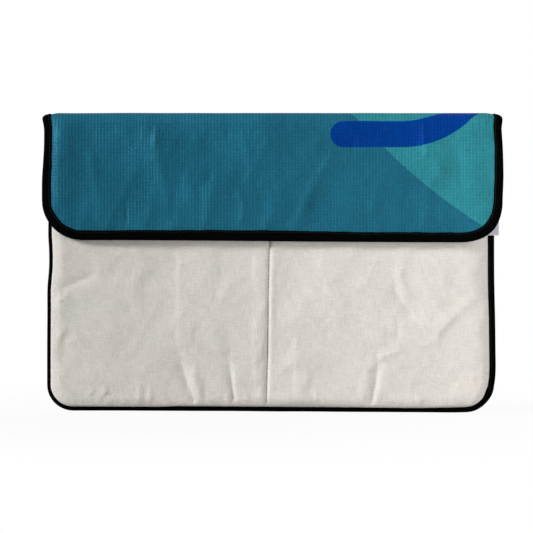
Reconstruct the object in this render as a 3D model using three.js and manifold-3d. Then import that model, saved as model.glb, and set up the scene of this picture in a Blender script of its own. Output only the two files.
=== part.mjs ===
// Laptop sleeve, modelled standing on its bottom edge with the mouth at the top.
// X is the width (right when facing the front), Y is the depth (the front faces -Y), Z is up.
// The pouch is two padded walls (outer sheet, foam, lining) bound on three sides with folded tape.
// The printed sheet of the back runs up over a soft fold and comes down the front as the flap.
// All lengths are millimetres.
import * as THREE from "three";
import { mergeVertices } from "three/addons/utils/BufferGeometryUtils.js";
import Module from "manifold-3d";

// ---- driving dimensions ----
const POUCH_HALF_W = 195.7; // half of the width over the bound edges
const POUCH_CORNER = 22; // bottom corner radius
const FOLD_Z = 254; // where the back sheet starts to turn over
const FOLD_RISE = 8; // height of the fold above FOLD_Z
const MOUTH_Z = 243; // top edge of the front wall
const FLAP_HALF_W = 202; // half of the flap's width over its binding
const FLAP_BOTTOM_Z = 149; // lowest edge of the closed flap
const FLAP_CORNER_A = 44; // flap corner, sideways
const FLAP_CORNER_B = 35; // flap corner, upright
const CORNER_STEPS = 6;

const SHEET = 0.8; // coated sheet and canvas
const FOAM = 3.0; // padding, relaxed
const FOAM_RIM = 1.2; // room between sheet and lining at the seam
const LINING = 0.4;
const INTERLINING = 1.4; // stiffening layer of the flap
const TAPE = 0.8; // binding tape
const GAP = 0.1; // between layers that touch in the real sleeve

const BACK_Y = 12.0; // middle of the back sheet
const FRONT_Y = -13.9; // middle of the flap's printed sheet
const POCKET_BACK = 8.0; // pocket face of the back lining
const POCKET_FRONT = -4.7; // pocket face of the front lining
const CENTRE_SHIFT = 1.65; // puts the middle of the depth on Y = 0

// How far below FOLD_Z each piece that reaches up to the fold ends.
const TOP_DROP = {
  pouch: 1,
  backFoam: 5,
  backLining: 2,
  pouchThread: 3,
  flap: 0.6,
  flapInterlining: 2,
  flapLining: 1.2,
  flapBinding: 1.2,
  flapThread: 3,
};

const wasm = await Module();
wasm.setup();

// ---- geometry helpers ----
const mix = (from, to, t) => from + (to - from) * t;

function signedVolume(coords, triangles) {
  let volume = 0;
  for (let i = 0; i < triangles.length; i += 3) {
    const [a, b, c] = [triangles[i] * 3, triangles[i + 1] * 3, triangles[i + 2] * 3];
    volume +=
      coords[a] * (coords[b + 1] * coords[c + 2] - coords[b + 2] * coords[c + 1]) +
      coords[a + 1] * (coords[b + 2] * coords[c] - coords[b] * coords[c + 2]) +
      coords[a + 2] * (coords[b] * coords[c + 1] - coords[b + 1] * coords[c]);
  }
  return volume;
}

// Builds a closed mesh, turning every triangle over if the faces point inwards.
function closedGeometry(points, triangles) {
  const coords = points.flat();
  if (signedVolume(coords, triangles) < 0) {
    for (let i = 0; i < triangles.length; i += 3) {
      [triangles[i + 1], triangles[i + 2]] = [triangles[i + 2], triangles[i + 1]];
    }
  }
  const geometry = new THREE.BufferGeometry();
  geometry.setAttribute("position", new THREE.Float32BufferAttribute(coords, 3));
  geometry.setIndex(triangles);
  return geometry;
}

// Manifold needs shared corners, so only the positions are kept and equal ones are merged.
function toSolid(geometry) {
  const bare = new THREE.BufferGeometry();
  bare.setAttribute("position", geometry.getAttribute("position"));
  bare.setIndex(geometry.index);
  const merged = mergeVertices(bare, 1e-4);
  return new wasm.Manifold(
    new wasm.Mesh({
      numProp: 3,
      vertProperties: new Float32Array(merged.attributes.position.array),
      triVerts: new Uint32Array(merged.index.array),
    }),
  );
}

function fromSolid(solid) {
  const mesh = solid.getMesh();
  const positions = new Float32Array(mesh.vertProperties);
  const geometry = new THREE.BufferGeometry();
  geometry.setAttribute("position", new THREE.BufferAttribute(positions, 3));
  geometry.setIndex(new THREE.BufferAttribute(new Uint32Array(mesh.triVerts), 1));
  return geometry;
}

// A box given by its [low, high] range along each axis.
function box({ x, y, z }) {
  return new THREE.BoxGeometry(x[1] - x[0], y[1] - y[0], z[1] - z[0]).translate(
    (x[0] + x[1]) / 2,
    (y[0] + y[1]) / 2,
    (z[0] + z[1]) / 2,
  );
}

// Draws a closed polygon into a shape or a hole path.
function trace(path, points) {
  path.moveTo(...points[0]);
  points.slice(1).forEach((point) => path.lineTo(...point));
  path.closePath();
  return path;
}

// A U-shaped outline: down the left side, round the bottom, up the right side, set in by inset.
function ring(outline, inset) {
  const halfW = outline.halfW - inset;
  const bottom = outline.bottom + inset;
  const a = Math.max(outline.cornerA - inset, 2);
  const b = Math.max(outline.cornerB - inset, 2);
  const points = [[-halfW, outline.top]];
  for (const [side, start] of [[-1, Math.PI], [1, 1.5 * Math.PI]]) {
    for (let k = 0; k <= CORNER_STEPS; k++) {
      const angle = start + (k / CORNER_STEPS) * (Math.PI / 2);
      points.push([
        side * (halfW - a) + a * Math.cos(angle),
        bottom + b + b * Math.sin(angle),
      ]);
    }
  }
  points.push([halfW, outline.top]);
  return points;
}

// Skins a row of equal closed loops of points and caps both ends, using the loop's flat outline.
function skin(loops, flatOutline) {
  const count = loops[0].length;
  const triangles = [];
  for (let i = 0; i + 1 < loops.length; i++) {
    for (let j = 0; j < count; j++) {
      const a = i * count + j;
      const b = i * count + ((j + 1) % count);
      triangles.push(a, b, b + count, a, b + count, a + count);
    }
  }
  const outline = flatOutline.map(([u, v]) => new THREE.Vector2(u, v));
  const clockwise = THREE.ShapeUtils.isClockWise(outline);
  const order = outline.map((_, i) => i);
  if (clockwise) {
    outline.reverse();
    order.reverse();
  }
  const last = (loops.length - 1) * count;
  for (const face of THREE.ShapeUtils.triangulateShape(outline, [])) {
    const [p, q, r] = face.map((i) => order[i]);
    const kept = [p, q, r];
    const turned = [p, r, q];
    const [near, far] = clockwise ? [kept, turned] : [turned, kept];
    triangles.push(...near, ...far.map((i) => last + i));
  }
  return closedGeometry(loops.flat(), triangles);
}

// Sweeps a closed (inset, depth) profile along a U outline.
function sweepU(outline, profile) {
  const rings = profile.map(([inset]) => ring(outline, inset));
  const loops = rings[0].map((_, i) =>
    profile.map(([, y], j) => [rings[j][i][0], y, rings[j][i][1]]),
  );
  return skin(loops, profile);
}

// A thin tray inside a U outline: one sheet between two depths given at each inset.
// The tray has no sloping rim along its top edge.
function trayU(outline, insets, outerDepths, innerDepths) {
  const rings = insets.map((inset) => ring(outline, inset));
  const count = rings[0].length;
  const last = insets.length - 1;
  const points = [];
  for (const depths of [outerDepths, innerDepths]) {
    rings.forEach((ringPoints, k) => {
      for (const [x, z] of ringPoints) points.push([x, depths[k], z]);
    });
  }
  const outer = (k, i) => k * count + i;
  const inner = (k, i) => (last + 1 + k) * count + i;
  const triangles = [];
  const quad = (a, b, c, d) => triangles.push(a, b, c, a, c, d);
  // The slopes between rings, on both faces, and the strips closing them at the top edge.
  for (let k = 0; k < last; k++) {
    for (let i = 0; i + 1 < count; i++) {
      quad(outer(k, i), outer(k, i + 1), outer(k + 1, i + 1), outer(k + 1, i));
      quad(inner(k, i), inner(k + 1, i), inner(k + 1, i + 1), inner(k, i + 1));
    }
    quad(outer(k, 0), outer(k + 1, 0), inner(k + 1, 0), inner(k, 0));
    const end = count - 1;
    quad(outer(k + 1, end), outer(k, end), inner(k, end), inner(k + 1, end));
  }
  // The rim.
  for (let i = 0; i + 1 < count; i++) {
    quad(inner(0, i), inner(0, i + 1), outer(0, i + 1), outer(0, i));
  }
  // The flat middle: its top edge, then a fan on each face.
  quad(outer(last, 0), outer(last, count - 1), inner(last, count - 1), inner(last, 0));
  for (let i = 1; i + 1 < count; i++) {
    triangles.push(outer(last, 0), outer(last, i), outer(last, i + 1));
    triangles.push(inner(last, 0), inner(last, i + 1), inner(last, i));
  }
  return closedGeometry(points, triangles);
}

// ---- outlines ----
const pouch = {
  halfW: POUCH_HALF_W,
  bottom: 0,
  cornerA: POUCH_CORNER,
  cornerB: POUCH_CORNER,
  top: FOLD_Z - TOP_DROP.pouch,
};
const frontOutline = { ...pouch, top: MOUTH_Z };
const flap = {
  halfW: FLAP_HALF_W,
  bottom: FLAP_BOTTOM_Z,
  cornerA: FLAP_CORNER_A,
  cornerB: FLAP_CORNER_B,
  top: FOLD_Z - TOP_DROP.flap,
};
const lowered = (outline, drop) => ({ ...outline, top: FOLD_Z - drop });

// ---- the walls ----
const SLOPE_START = 6.0; // distance in from the edge where a wall starts to rise
const SLOPE_END = 16.0; // and where it reaches its full depth
const FRONT_RIM = 6.5; // the front wall starts this far in, clear of the binding
const RIM_CLEARANCE = 0.15; // from the seam plane, Y = 0, to each lining at the rim
const FRONT_FOAM_DROP = 0.4; // front foam's top edge, below the mouth
const BACK_INSETS = [1.3, 6, 8.5, 11, 16];
const FRONT_INSETS = [FRONT_RIM, 8.5, 11, 16];
// The padding is a flat slab that stops short of the sewn edges.
const FOAM_INSETS = [SLOPE_END + 0.2, 40];

// How far a wall has risen from its rim (0) to its full depth (1), by distance in from the edge.
function rise(inset) {
  const along = (inset - SLOPE_START) / (SLOPE_END - SLOPE_START);
  return Math.sin((Math.PI / 2) * Math.min(1, Math.max(0, along)));
}
const depthAt = ([atRim, atFull], inset) => mix(atRim, atFull, rise(inset));

// Each face's Y as [at the rim, at full depth], from the pocket outwards. side is +1 for the back.
function wallLayers(side, pocketY) {
  let rim = RIM_CLEARANCE;
  let full = Math.abs(pocketY);
  const layers = {};
  // name, thickness at the rim, thickness at full depth
  for (const [name, rimThickness, fullThickness] of [
    ["lining", LINING, LINING],
    ["foam", FOAM_RIM, FOAM],
    ["sheet", SHEET, SHEET],
  ]) {
    layers[name] = {
      inner: [side * rim, side * full],
      outer: [side * (rim + rimThickness), side * (full + fullThickness)],
    };
    rim += rimThickness + GAP;
    full += fullThickness + GAP;
  }
  return layers;
}
const back = wallLayers(1, POCKET_BACK);
const front = wallLayers(-1, POCKET_FRONT);
const frontFace = front.sheet.outer[1];

function wallLayer(outline, insets, layer) {
  return trayU(
    outline,
    insets,
    insets.map((inset) => depthAt(layer.outer, inset)),
    insets.map((inset) => depthAt(layer.inner, inset)),
  );
}

const backOuter = wallLayer(pouch, BACK_INSETS, back.sheet);
const backFoam = wallLayer(lowered(pouch, TOP_DROP.backFoam), FOAM_INSETS, back.foam);
const backLining = wallLayer(lowered(pouch, TOP_DROP.backLining), BACK_INSETS, back.lining);
const frontFoam = wallLayer(
  { ...frontOutline, top: MOUTH_Z - FRONT_FOAM_DROP },
  FOAM_INSETS,
  front.foam,
);
const frontLining = wallLayer(frontOutline, FRONT_INSETS, front.lining);

// ---- front sheet: two halves that meet at the centre seam, with its thread between them ----
const SEAM_X = -2.6;
const SEAM_HALF = 0.65; // half of the space between the halves
const SEAM_THREAD_HALF = 0.4;
const CUT_X = 300; // the cutting boxes reach well past the sheet

const frontOuter = toSolid(wallLayer(frontOutline, FRONT_INSETS, front.sheet));
function frontWithout(x) {
  const cutter = box({ x, y: [-40, 40], z: [-10, 300] });
  return fromSolid(frontOuter.subtract(toSolid(cutter)));
}
const frontLeft = frontWithout([SEAM_X - SEAM_HALF, CUT_X]);
const frontRight = frontWithout([-CUT_X, SEAM_X + SEAM_HALF]);
const centreThread = box({
  x: [SEAM_X - SEAM_THREAD_HALF, SEAM_X + SEAM_THREAD_HALF],
  y: [frontFace + 0.05, frontFace + 0.7],
  z: [17, MOUTH_Z - 8],
});

// ---- binding profiles ----
const THREAD_W = 0.7; // width of a binding's line of stitching

// Tape folded round an edge, its inside faces at frontY and backY, as (inset, depth).
// The fold's two outer corners are cut off by bevelIn across the width and bevelY in depth.
function tapeProfile({ lip, frontY, backY, bevelIn, bevelY }) {
  return [
    [0, frontY + bevelY],
    [bevelIn, frontY - TAPE],
    [lip, frontY - TAPE],
    [lip, frontY],
    [TAPE, frontY],
    [TAPE, backY],
    [lip, backY],
    [lip, backY + TAPE],
    [bevelIn, backY + TAPE],
    [0, backY - bevelY],
  ];
}

// Thread lying on the front of the tape, as (inset, depth).
function threadProfile({ inset, frontY, thickness }) {
  const y = frontY - TAPE - GAP;
  return [
    [inset, y],
    [inset, y - thickness],
    [inset + THREAD_W, y - thickness],
    [inset + THREAD_W, y],
  ];
}

// ---- edge binding of the pouch: a tape folded round the rim ----
const POUCH_LIP = 5.7; // binding width seen on the pouch edge
const RIM_Y = 2.9; // inside of the fold, either side of the seam plane

const pouchBinding = sweepU(
  pouch,
  tapeProfile({ lip: POUCH_LIP, frontY: -RIM_Y, backY: RIM_Y, bevelIn: 1.2, bevelY: 0.6 }),
);
const pouchThread = sweepU(
  lowered(pouch, TOP_DROP.pouchThread),
  threadProfile({ inset: POUCH_LIP - 1.9, frontY: -RIM_Y, thickness: 0.5 }),
);

// ---- binding along the mouth: a tape folded over the top of the front wall ----
const MOUTH_LIP = 9; // how far the tape comes down the wall
const MOUTH_CLEARANCE = 0.15; // between tape and wall faces, and half-way up to the fold
const MOUTH_TAPE_OUT = MOUTH_CLEARANCE + TAPE;
const MOUTH_FOLD_Z = MOUTH_Z + 0.2; // underside of the tape over the wall
const MOUTH_LIP_Z = MOUTH_Z - MOUTH_LIP;
const OUTER = -1;
const POCKET = 1;

// Lofts a profile across the width, following the front wall's slopes at both sides.
// The profile's columns are the wall face (OUTER or POCKET), distance off that face, and z.
function mouthLoft(profile) {
  const stations = [
    ...FRONT_INSETS.map((inset) => [-(POUCH_HALF_W - inset), inset]),
    ...[...FRONT_INSETS].reverse().map((inset) => [POUCH_HALF_W - inset, inset]),
  ];
  const loops = stations.map(([x, inset]) => {
    const outerY = depthAt(front.sheet.outer, inset);
    const pocketY = depthAt(front.lining.inner, inset);
    return profile.map(([face, off, z]) => [
      x,
      face === OUTER ? outerY - off : pocketY + off,
      z,
    ]);
  });
  return skin(loops, loops[0].map(([, y, z]) => [y, z]));
}

const mouthBinding = mouthLoft([
  [OUTER, MOUTH_TAPE_OUT, MOUTH_LIP_Z],
  [OUTER, MOUTH_TAPE_OUT, MOUTH_FOLD_Z],
  [OUTER, MOUTH_CLEARANCE, MOUTH_FOLD_Z + TAPE],
  [POCKET, 0, MOUTH_FOLD_Z + TAPE],
  [POCKET, MOUTH_TAPE_OUT, MOUTH_FOLD_Z],
  [POCKET, MOUTH_TAPE_OUT, MOUTH_LIP_Z],
  [POCKET, MOUTH_CLEARANCE, MOUTH_LIP_Z],
  [POCKET, MOUTH_CLEARANCE, MOUTH_FOLD_Z],
  [OUTER, MOUTH_CLEARANCE, MOUTH_FOLD_Z],
  [OUTER, MOUTH_CLEARANCE, MOUTH_LIP_Z],
]);
const mouthThreadZ = MOUTH_LIP_Z + 1.2;
const mouthThreadOff = MOUTH_TAPE_OUT + GAP;
const mouthThread = mouthLoft([
  [OUTER, mouthThreadOff, mouthThreadZ],
  [OUTER, mouthThreadOff + 0.4, mouthThreadZ],
  [OUTER, mouthThreadOff + 0.4, mouthThreadZ + THREAD_W],
  [OUTER, mouthThreadOff, mouthThreadZ + THREAD_W],
]);

// ---- the fold over the top: half an ellipse from the back sheet to the flap ----
const FOLD_MID_Y = (BACK_Y + FRONT_Y) / 2;
const FOLD_HALF_Y = (BACK_Y - FRONT_Y) / 2;
const FOLD_CLEARANCE = 0.15; // between cover and lining

// The (y, z) of a point on the fold, offset outwards from the middle of the sheet.
function foldPoint(offset, degrees) {
  const angle = THREE.MathUtils.degToRad(degrees);
  return [
    FOLD_MID_Y + (FOLD_HALF_Y + offset) * Math.cos(angle),
    FOLD_Z + (FOLD_RISE + offset) * Math.sin(angle),
  ];
}

// Angles from startAngle at the back to its mirror image at the front.
function foldAngles(startAngle, steps) {
  return Array.from({ length: steps + 1 }, (_, k) =>
    mix(startAngle, 180 - startAngle, k / steps),
  );
}

function foldSheet({ outer, inner, halfW, startAngle }) {
  const angles = foldAngles(startAngle, 12);
  const section = [
    ...angles.map((angle) => foldPoint(outer, angle)),
    ...angles.reverse().map((angle) => foldPoint(inner, angle)),
  ];
  // The shape's own X and Y become Y and Z, and the extrusion runs along X.
  return new THREE.ExtrudeGeometry(trace(new THREE.Shape(), section), {
    depth: 2 * halfW,
    bevelEnabled: false,
  }).applyMatrix4(
    new THREE.Matrix4().set(0, 0, 1, -halfW, 1, 0, 0, 0, 0, 1, 0, 0, 0, 0, 0, 1),
  );
}

const foldCover = foldSheet({
  outer: SHEET / 2,
  inner: -SHEET / 2,
  halfW: 195.2,
  startAngle: 28,
});
const foldLiningOuter = -SHEET / 2 - FOLD_CLEARANCE;
const foldLining = foldSheet({
  outer: foldLiningOuter,
  inner: foldLiningOuter - LINING,
  halfW: 195,
  startAngle: 32,
});

// Section of the tape round each end of the fold: distance from X = 0, offset from the sheet.
const FOLD_BINDING_PROFILE = [
  [187.4, 1.35], [195.6, 1.35], [196.4, 0.7], [196.4, -1.4], [195.6, -2.0],
  [187.4, -2.0], [187.4, -1.2], [195.5, -1.2], [195.5, 0.55], [187.4, 0.55],
];
function foldBinding(side) {
  const loops = foldAngles(24, 10).map((angle) =>
    FOLD_BINDING_PROFILE.map(([x, offset]) => [side * x, ...foldPoint(offset, angle)]),
  );
  return skin(loops, FOLD_BINDING_PROFILE);
}

// ---- the flap: flat layers from the printed sheet in towards the pouch, and their binding ----
const FLAP_LIP = 8.9; // binding width on the flap edge
const FLAP_INSETS = [1.3, 12];
const flapSheetOuter = FRONT_Y - SHEET / 2;
const flapSheetInner = FRONT_Y + SHEET / 2;
const interliningOuter = flapSheetInner + GAP;
const interliningInner = interliningOuter + INTERLINING;
const flapLiningOuter = interliningInner + GAP;
const flapLiningInner = flapLiningOuter + LINING;

const flapLayer = (drop, outerY, innerY) =>
  trayU(lowered(flap, drop), FLAP_INSETS, [outerY, outerY], [innerY, innerY]);
const flapPanel = flapLayer(TOP_DROP.flap, flapSheetOuter, flapSheetInner);
const flapInterlining = flapLayer(
  TOP_DROP.flapInterlining,
  interliningOuter,
  interliningInner,
);
const flapLining = flapLayer(TOP_DROP.flapLining, flapLiningOuter, flapLiningInner);

const flapTapeFront = flapSheetOuter - GAP;
const flapBinding = sweepU(
  lowered(flap, TOP_DROP.flapBinding),
  tapeProfile({
    lip: FLAP_LIP,
    frontY: flapTapeFront,
    backY: flapLiningInner + GAP,
    bevelIn: 0.9,
    bevelY: 0.5,
  }),
);
const flapThread = sweepU(
  lowered(flap, TOP_DROP.flapThread),
  threadProfile({ inset: FLAP_LIP - 1.8, frontY: flapTapeFront, thickness: 0.4 }),
);

// ---- hook and loop closure: a backing strip with a raised field, sewn round its selvedge ----
const STRIP_HALF_W = 40;
const STRIP_HALF_H = 10;
const STRIP_X = 95; // strip centres, either side of X = 0
const STRIP_Z = 170;
const SELVEDGE = 2.6;
const BACKING = 0.4;
const STRIP_THREAD_INSET = 0.9; // from the strip's edge
const STRIP_THREAD_W = 0.6;
const STRIP_THREAD_DEPTH = 0.4;

// direction is the way the pile faces along Y.
function closureStrip(centreX, { baseY, direction, pile }) {
  const slab = (inset, from, to) => {
    const halfW = STRIP_HALF_W - inset;
    const halfH = STRIP_HALF_H - inset;
    const y0 = baseY + direction * from;
    const y1 = baseY + direction * to;
    return toSolid(
      box({
        x: [centreX - halfW, centreX + halfW],
        y: [Math.min(y0, y1), Math.max(y0, y1)],
        z: [STRIP_Z - halfH, STRIP_Z + halfH],
      }),
    );
  };
  // The field starts inside the backing so that the two join.
  const field = slab(SELVEDGE, BACKING * 0.5, BACKING + pile);
  return fromSolid(slab(0, 0, BACKING).add(field));
}

function closureThread(centreX, { baseY, direction }) {
  const outerW = STRIP_HALF_W - STRIP_THREAD_INSET;
  const outerH = STRIP_HALF_H - STRIP_THREAD_INSET;
  const w = outerW - STRIP_THREAD_W;
  const h = outerH - STRIP_THREAD_W;
  const shape = trace(new THREE.Shape(), [
    [-outerW, -outerH], [outerW, -outerH], [outerW, outerH], [-outerW, outerH],
  ]);
  shape.holes.push(trace(new THREE.Path(), [[-w, -h], [-w, h], [w, h], [w, -h]]));
  const y = baseY + direction * (BACKING + GAP);
  const depth = STRIP_THREAD_DEPTH;
  // Once turned upright, the extrusion runs from its origin towards -Y.
  return new THREE.ExtrudeGeometry(shape, { depth, bevelEnabled: false })
    .rotateX(Math.PI / 2)
    .translate(centreX, direction > 0 ? y + depth : y, STRIP_Z);
}

const LOOP = { baseY: frontFace - GAP, direction: -1, pile: 0.6 };
const HOOK = { baseY: flapLiningInner + GAP, direction: 1, pile: 0.7 };

// ---- the folded label on the right edge ----
const label = box({ x: [189.7, 199.0], y: [-5.15, -4.55], z: [154.9, 173] });
const labelThread = box({ x: [190.2, 190.8], y: [-5.65, -5.25], z: [156, 172] });

// ---- materials ----
const matte = ({ color, roughness }) =>
  new THREE.MeshStandardMaterial({ color, roughness, metalness: 0 });
const MATERIAL = {
  print: matte({ color: 0x1f5c74, roughness: 0.42 }),
  canvas: matte({ color: 0xd6d2cb, roughness: 0.8 }),
  foam: matte({ color: 0x4a4c50, roughness: 0.95 }),
  lining: matte({ color: 0x24262a, roughness: 0.7 }),
  tape: matte({ color: 0x08080a, roughness: 0.75 }),
  threadBlack: matte({ color: 0x141416, roughness: 0.6 }),
  threadWhite: matte({ color: 0xdcd9d2, roughness: 0.6 }),
  hook: matte({ color: 0x111114, roughness: 0.6 }),
  loop: matte({ color: 0x16161a, roughness: 0.95 }),
  label: matte({ color: 0xb9b8c6, roughness: 0.65 }),
};

// ---- assembly ----
const sleeve = new THREE.Group();
sleeve.name = "laptop_sleeve";
sleeve.position.set(0, CENTRE_SHIFT, 0);

// Adds a named group of [mesh name, geometry, material name] pieces.
function addBody(name, pieces) {
  const group = new THREE.Group();
  group.name = name;
  for (const [meshName, geometry, material] of pieces) {
    const mesh = new THREE.Mesh(geometry, MATERIAL[material]);
    mesh.name = meshName;
    group.add(mesh);
  }
  sleeve.add(group);
}

// The left and right strips of one kind, "hook" or "loop", and their threads.
function closurePieces(kind, spec) {
  const sides = [["left", -STRIP_X], ["right", STRIP_X]];
  return [
    ...sides.map(([side, x]) => [`${kind}_strip_${side}`, closureStrip(x, spec), kind]),
    ...sides.map(([side, x]) => [
      `${kind}_thread_${side}`, closureThread(x, spec), "threadBlack",
    ]),
  ];
}

addBody("pouch_body", [
  ["back_outer_panel", backOuter, "print"],
  ["back_foam_pad", backFoam, "foam"],
  ["back_lining", backLining, "lining"],
  ["pouch_edge_binding", pouchBinding, "tape"],
  ["pouch_binding_thread", pouchThread, "threadBlack"],
]);
addBody("front_wall_body", [
  ["front_panel_left", frontLeft, "canvas"],
  ["front_panel_right", frontRight, "canvas"],
  ["centre_seam_thread", centreThread, "threadWhite"],
  ["front_foam_pad", frontFoam, "foam"],
  ["front_lining", frontLining, "lining"],
  ["mouth_binding", mouthBinding, "tape"],
  ["mouth_binding_thread", mouthThread, "threadBlack"],
  ...closurePieces("loop", LOOP),
]);
addBody("fold_body", [
  ["fold_cover", foldCover, "print"],
  ["fold_lining", foldLining, "lining"],
  ["fold_binding_left", foldBinding(-1), "tape"],
  ["fold_binding_right", foldBinding(1), "tape"],
]);
addBody("flap_body", [
  ["flap_printed_panel", flapPanel, "print"],
  ["flap_interlining", flapInterlining, "foam"],
  ["flap_lining", flapLining, "lining"],
  ["flap_edge_binding", flapBinding, "tape"],
  ["flap_binding_thread", flapThread, "threadBlack"],
  ...closurePieces("hook", HOOK),
]);
addBody("label_body", [
  ["side_label", label, "label"],
  ["side_label_thread", labelThread, "threadWhite"],
]);

export default sleeve;
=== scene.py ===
"""A flat padded pouch with a fold-over flap, standing upright on a pale floor.

One printed sheet makes the back, the fold on top and the flap that hangs over the front. The
front wall is canvas in two halves. The edges are bound in black tape, and hook and loop strips
hold the flap. x runs across (left is -x), y runs from the front (-y) to the back (+y), and z
is up from the sewn bottom edge. Lengths are in mm and become metres when a mesh is built.
"""
import math

import bpy
import numpy as np
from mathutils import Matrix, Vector


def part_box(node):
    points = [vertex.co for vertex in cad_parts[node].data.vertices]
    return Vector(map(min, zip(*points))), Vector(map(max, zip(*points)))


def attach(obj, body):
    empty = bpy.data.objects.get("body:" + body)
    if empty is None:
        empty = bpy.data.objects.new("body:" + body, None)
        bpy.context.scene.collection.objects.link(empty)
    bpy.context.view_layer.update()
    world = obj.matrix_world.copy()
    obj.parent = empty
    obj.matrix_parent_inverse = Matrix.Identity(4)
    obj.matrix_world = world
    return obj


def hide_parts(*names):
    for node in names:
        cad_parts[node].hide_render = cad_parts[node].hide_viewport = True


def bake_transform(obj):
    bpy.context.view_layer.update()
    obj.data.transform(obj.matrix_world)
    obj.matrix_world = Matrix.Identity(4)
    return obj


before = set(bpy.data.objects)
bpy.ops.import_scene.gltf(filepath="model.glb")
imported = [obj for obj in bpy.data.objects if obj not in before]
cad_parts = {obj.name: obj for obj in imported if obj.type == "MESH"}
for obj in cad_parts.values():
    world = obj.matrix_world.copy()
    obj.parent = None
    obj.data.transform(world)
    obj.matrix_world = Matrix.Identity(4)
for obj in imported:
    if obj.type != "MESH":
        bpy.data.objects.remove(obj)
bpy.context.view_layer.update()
MM = 0.001
TAU = 2 * math.pi
SIDES = (("left", -1), ("right", 1))


# ---------------------------------------------------------------- sizes
def low(piece):
    return np.array(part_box(piece)[0]) / MM


def high(piece):
    return np.array(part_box(piece)[1]) / MM


HALF_SHEET = 0.4
HALF_LINING = 0.2
# depths (y) of the layers, at the middle of each sheet
SEAM_Y = (low("pouch_edge_binding")[1] + high("pouch_edge_binding")[1]) / 2
BACK_Y = high("back_outer_panel")[1] - HALF_SHEET
FLAP_Y = low("flap_printed_panel")[1] + HALF_SHEET
FRONT_Y = low("front_panel_left")[1] + HALF_SHEET
BACK_LINING_Y = high("back_lining")[1] - HALF_LINING
FRONT_LINING_Y = low("front_lining")[1] + HALF_LINING
# heights
MOUTH_Z = high("front_panel_left")[2]
TOP_Z = high("fold_cover")[2] - HALF_SHEET
FOLD_RISE = 8.0
FOLD_Z = TOP_Z - FOLD_RISE
FLAP_BOTTOM = low("flap_edge_binding")[2]
# the fold's half ellipse
FOLD_HALF_DEPTH = (BACK_Y - FLAP_Y) / 2
FOLD_MID_Y = (BACK_Y + FLAP_Y) / 2

POUCH_HW = high("pouch_edge_binding")[0]
POUCH_R = 23.0        # bottom corners of the pouch
FLAP_R = 35.0         # bottom corners of the flap
RIM = 1.5             # half gap at the sewn rim, from the seam plane to a sheet
RIM_FACE = RIM + 0.42     # from the seam plane to the face the tape lies on
CANVAS_RIM = SEAM_Y - RIM
FLAP_LINING_DEPTH = low("flap_lining")[1] + HALF_LINING - FLAP_Y
FLAP_INNER_FACE = high("flap_lining")[1] - FLAP_Y
SEAM_TOP_X = (high("front_panel_left")[0] + low("front_panel_right")[0]) / 2
COVER_INSET = 1.2     # from the binding's outer edge to the printed sheet's own edge
POUCH_LIP = 5.6       # widths of the tapes on a face
MOUTH_LIP = 9.0
POUCH_TAPE = 0.7      # thickness of the folded tape round the pouch
FLAP_TAPE = 0.72      # and round the flap
STITCH_INSET = 1.5    # stitches from a tape's inner edge

# Each joint: first body, second body, where the blend starts and where it ends
BACK_TO_FOLD = ("pouch", "fold", (0, BACK_Y * MM, FOLD_Z * MM),
                (0, (BACK_Y - 7.65) * MM, (FOLD_Z + FOLD_RISE) * MM))
FOLD_TO_FLAP = ("fold", "flap", (0, (FLAP_Y + 7.65) * MM, (FOLD_Z + FOLD_RISE) * MM),
                (0, FLAP_Y * MM, FOLD_Z * MM))
FRONT_JOINT = {
    "left": ("pouch", "front_wall", (-186 * MM, 0, 0), (-52 * MM, 0, 0)),
    "right": ("pouch", "front_wall", (186 * MM, 0, 0), (46 * MM, 0, 0)),
}


# ---------------------------------------------------------------- small maths
def smooth(x):
    x = np.clip(x, 0.0, 1.0)
    return x * x * (3 - 2 * x)


def mix(start, end, share):
    return start + (end - start) * share


def bell(x, centre, width):
    return np.exp(-(((x - centre) / width) ** 2))


def lattice(i, j, seed):
    """A fixed random number in -1..1 for each lattice point."""
    mask = 0xFFFFFFFF
    n = (i.astype(np.int64) * 374761393 + j.astype(np.int64) * 668265263 + seed * 974634777) & mask
    n = ((n ^ (n >> 13)) * 1274126177) & mask
    return ((n ^ (n >> 16)) & 0xFFFF) / 32767.5 - 1.0


def noise(x, y, seed):
    """Value noise in -1..1 with a lattice pitch of 1."""
    x, y = np.broadcast_arrays(np.asarray(x, float), np.asarray(y, float))
    i, j = np.floor(x), np.floor(y)
    u, v = (f * f * f * (f * (f * 6 - 15) + 10) for f in (x - i, y - j))
    near = mix(lattice(i, j, seed), lattice(i + 1, j, seed), u)
    far = mix(lattice(i, j + 1, seed), lattice(i + 1, j + 1, seed), u)
    return mix(near, far, v)


def fractal(x, y, seed, octaves=3):
    total, weight, weights = 0.0, 1.0, 0.0
    for k in range(octaves):
        total = total + weight * noise(x * 2**k + 17.3 * k, y * 2**k - 9.1 * k, seed + 31 * k)
        weights += weight
        weight *= 0.5
    return total / weights


def ridges(x, y, seed):
    return 0.3 - np.abs(noise(x, y, seed))


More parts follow.
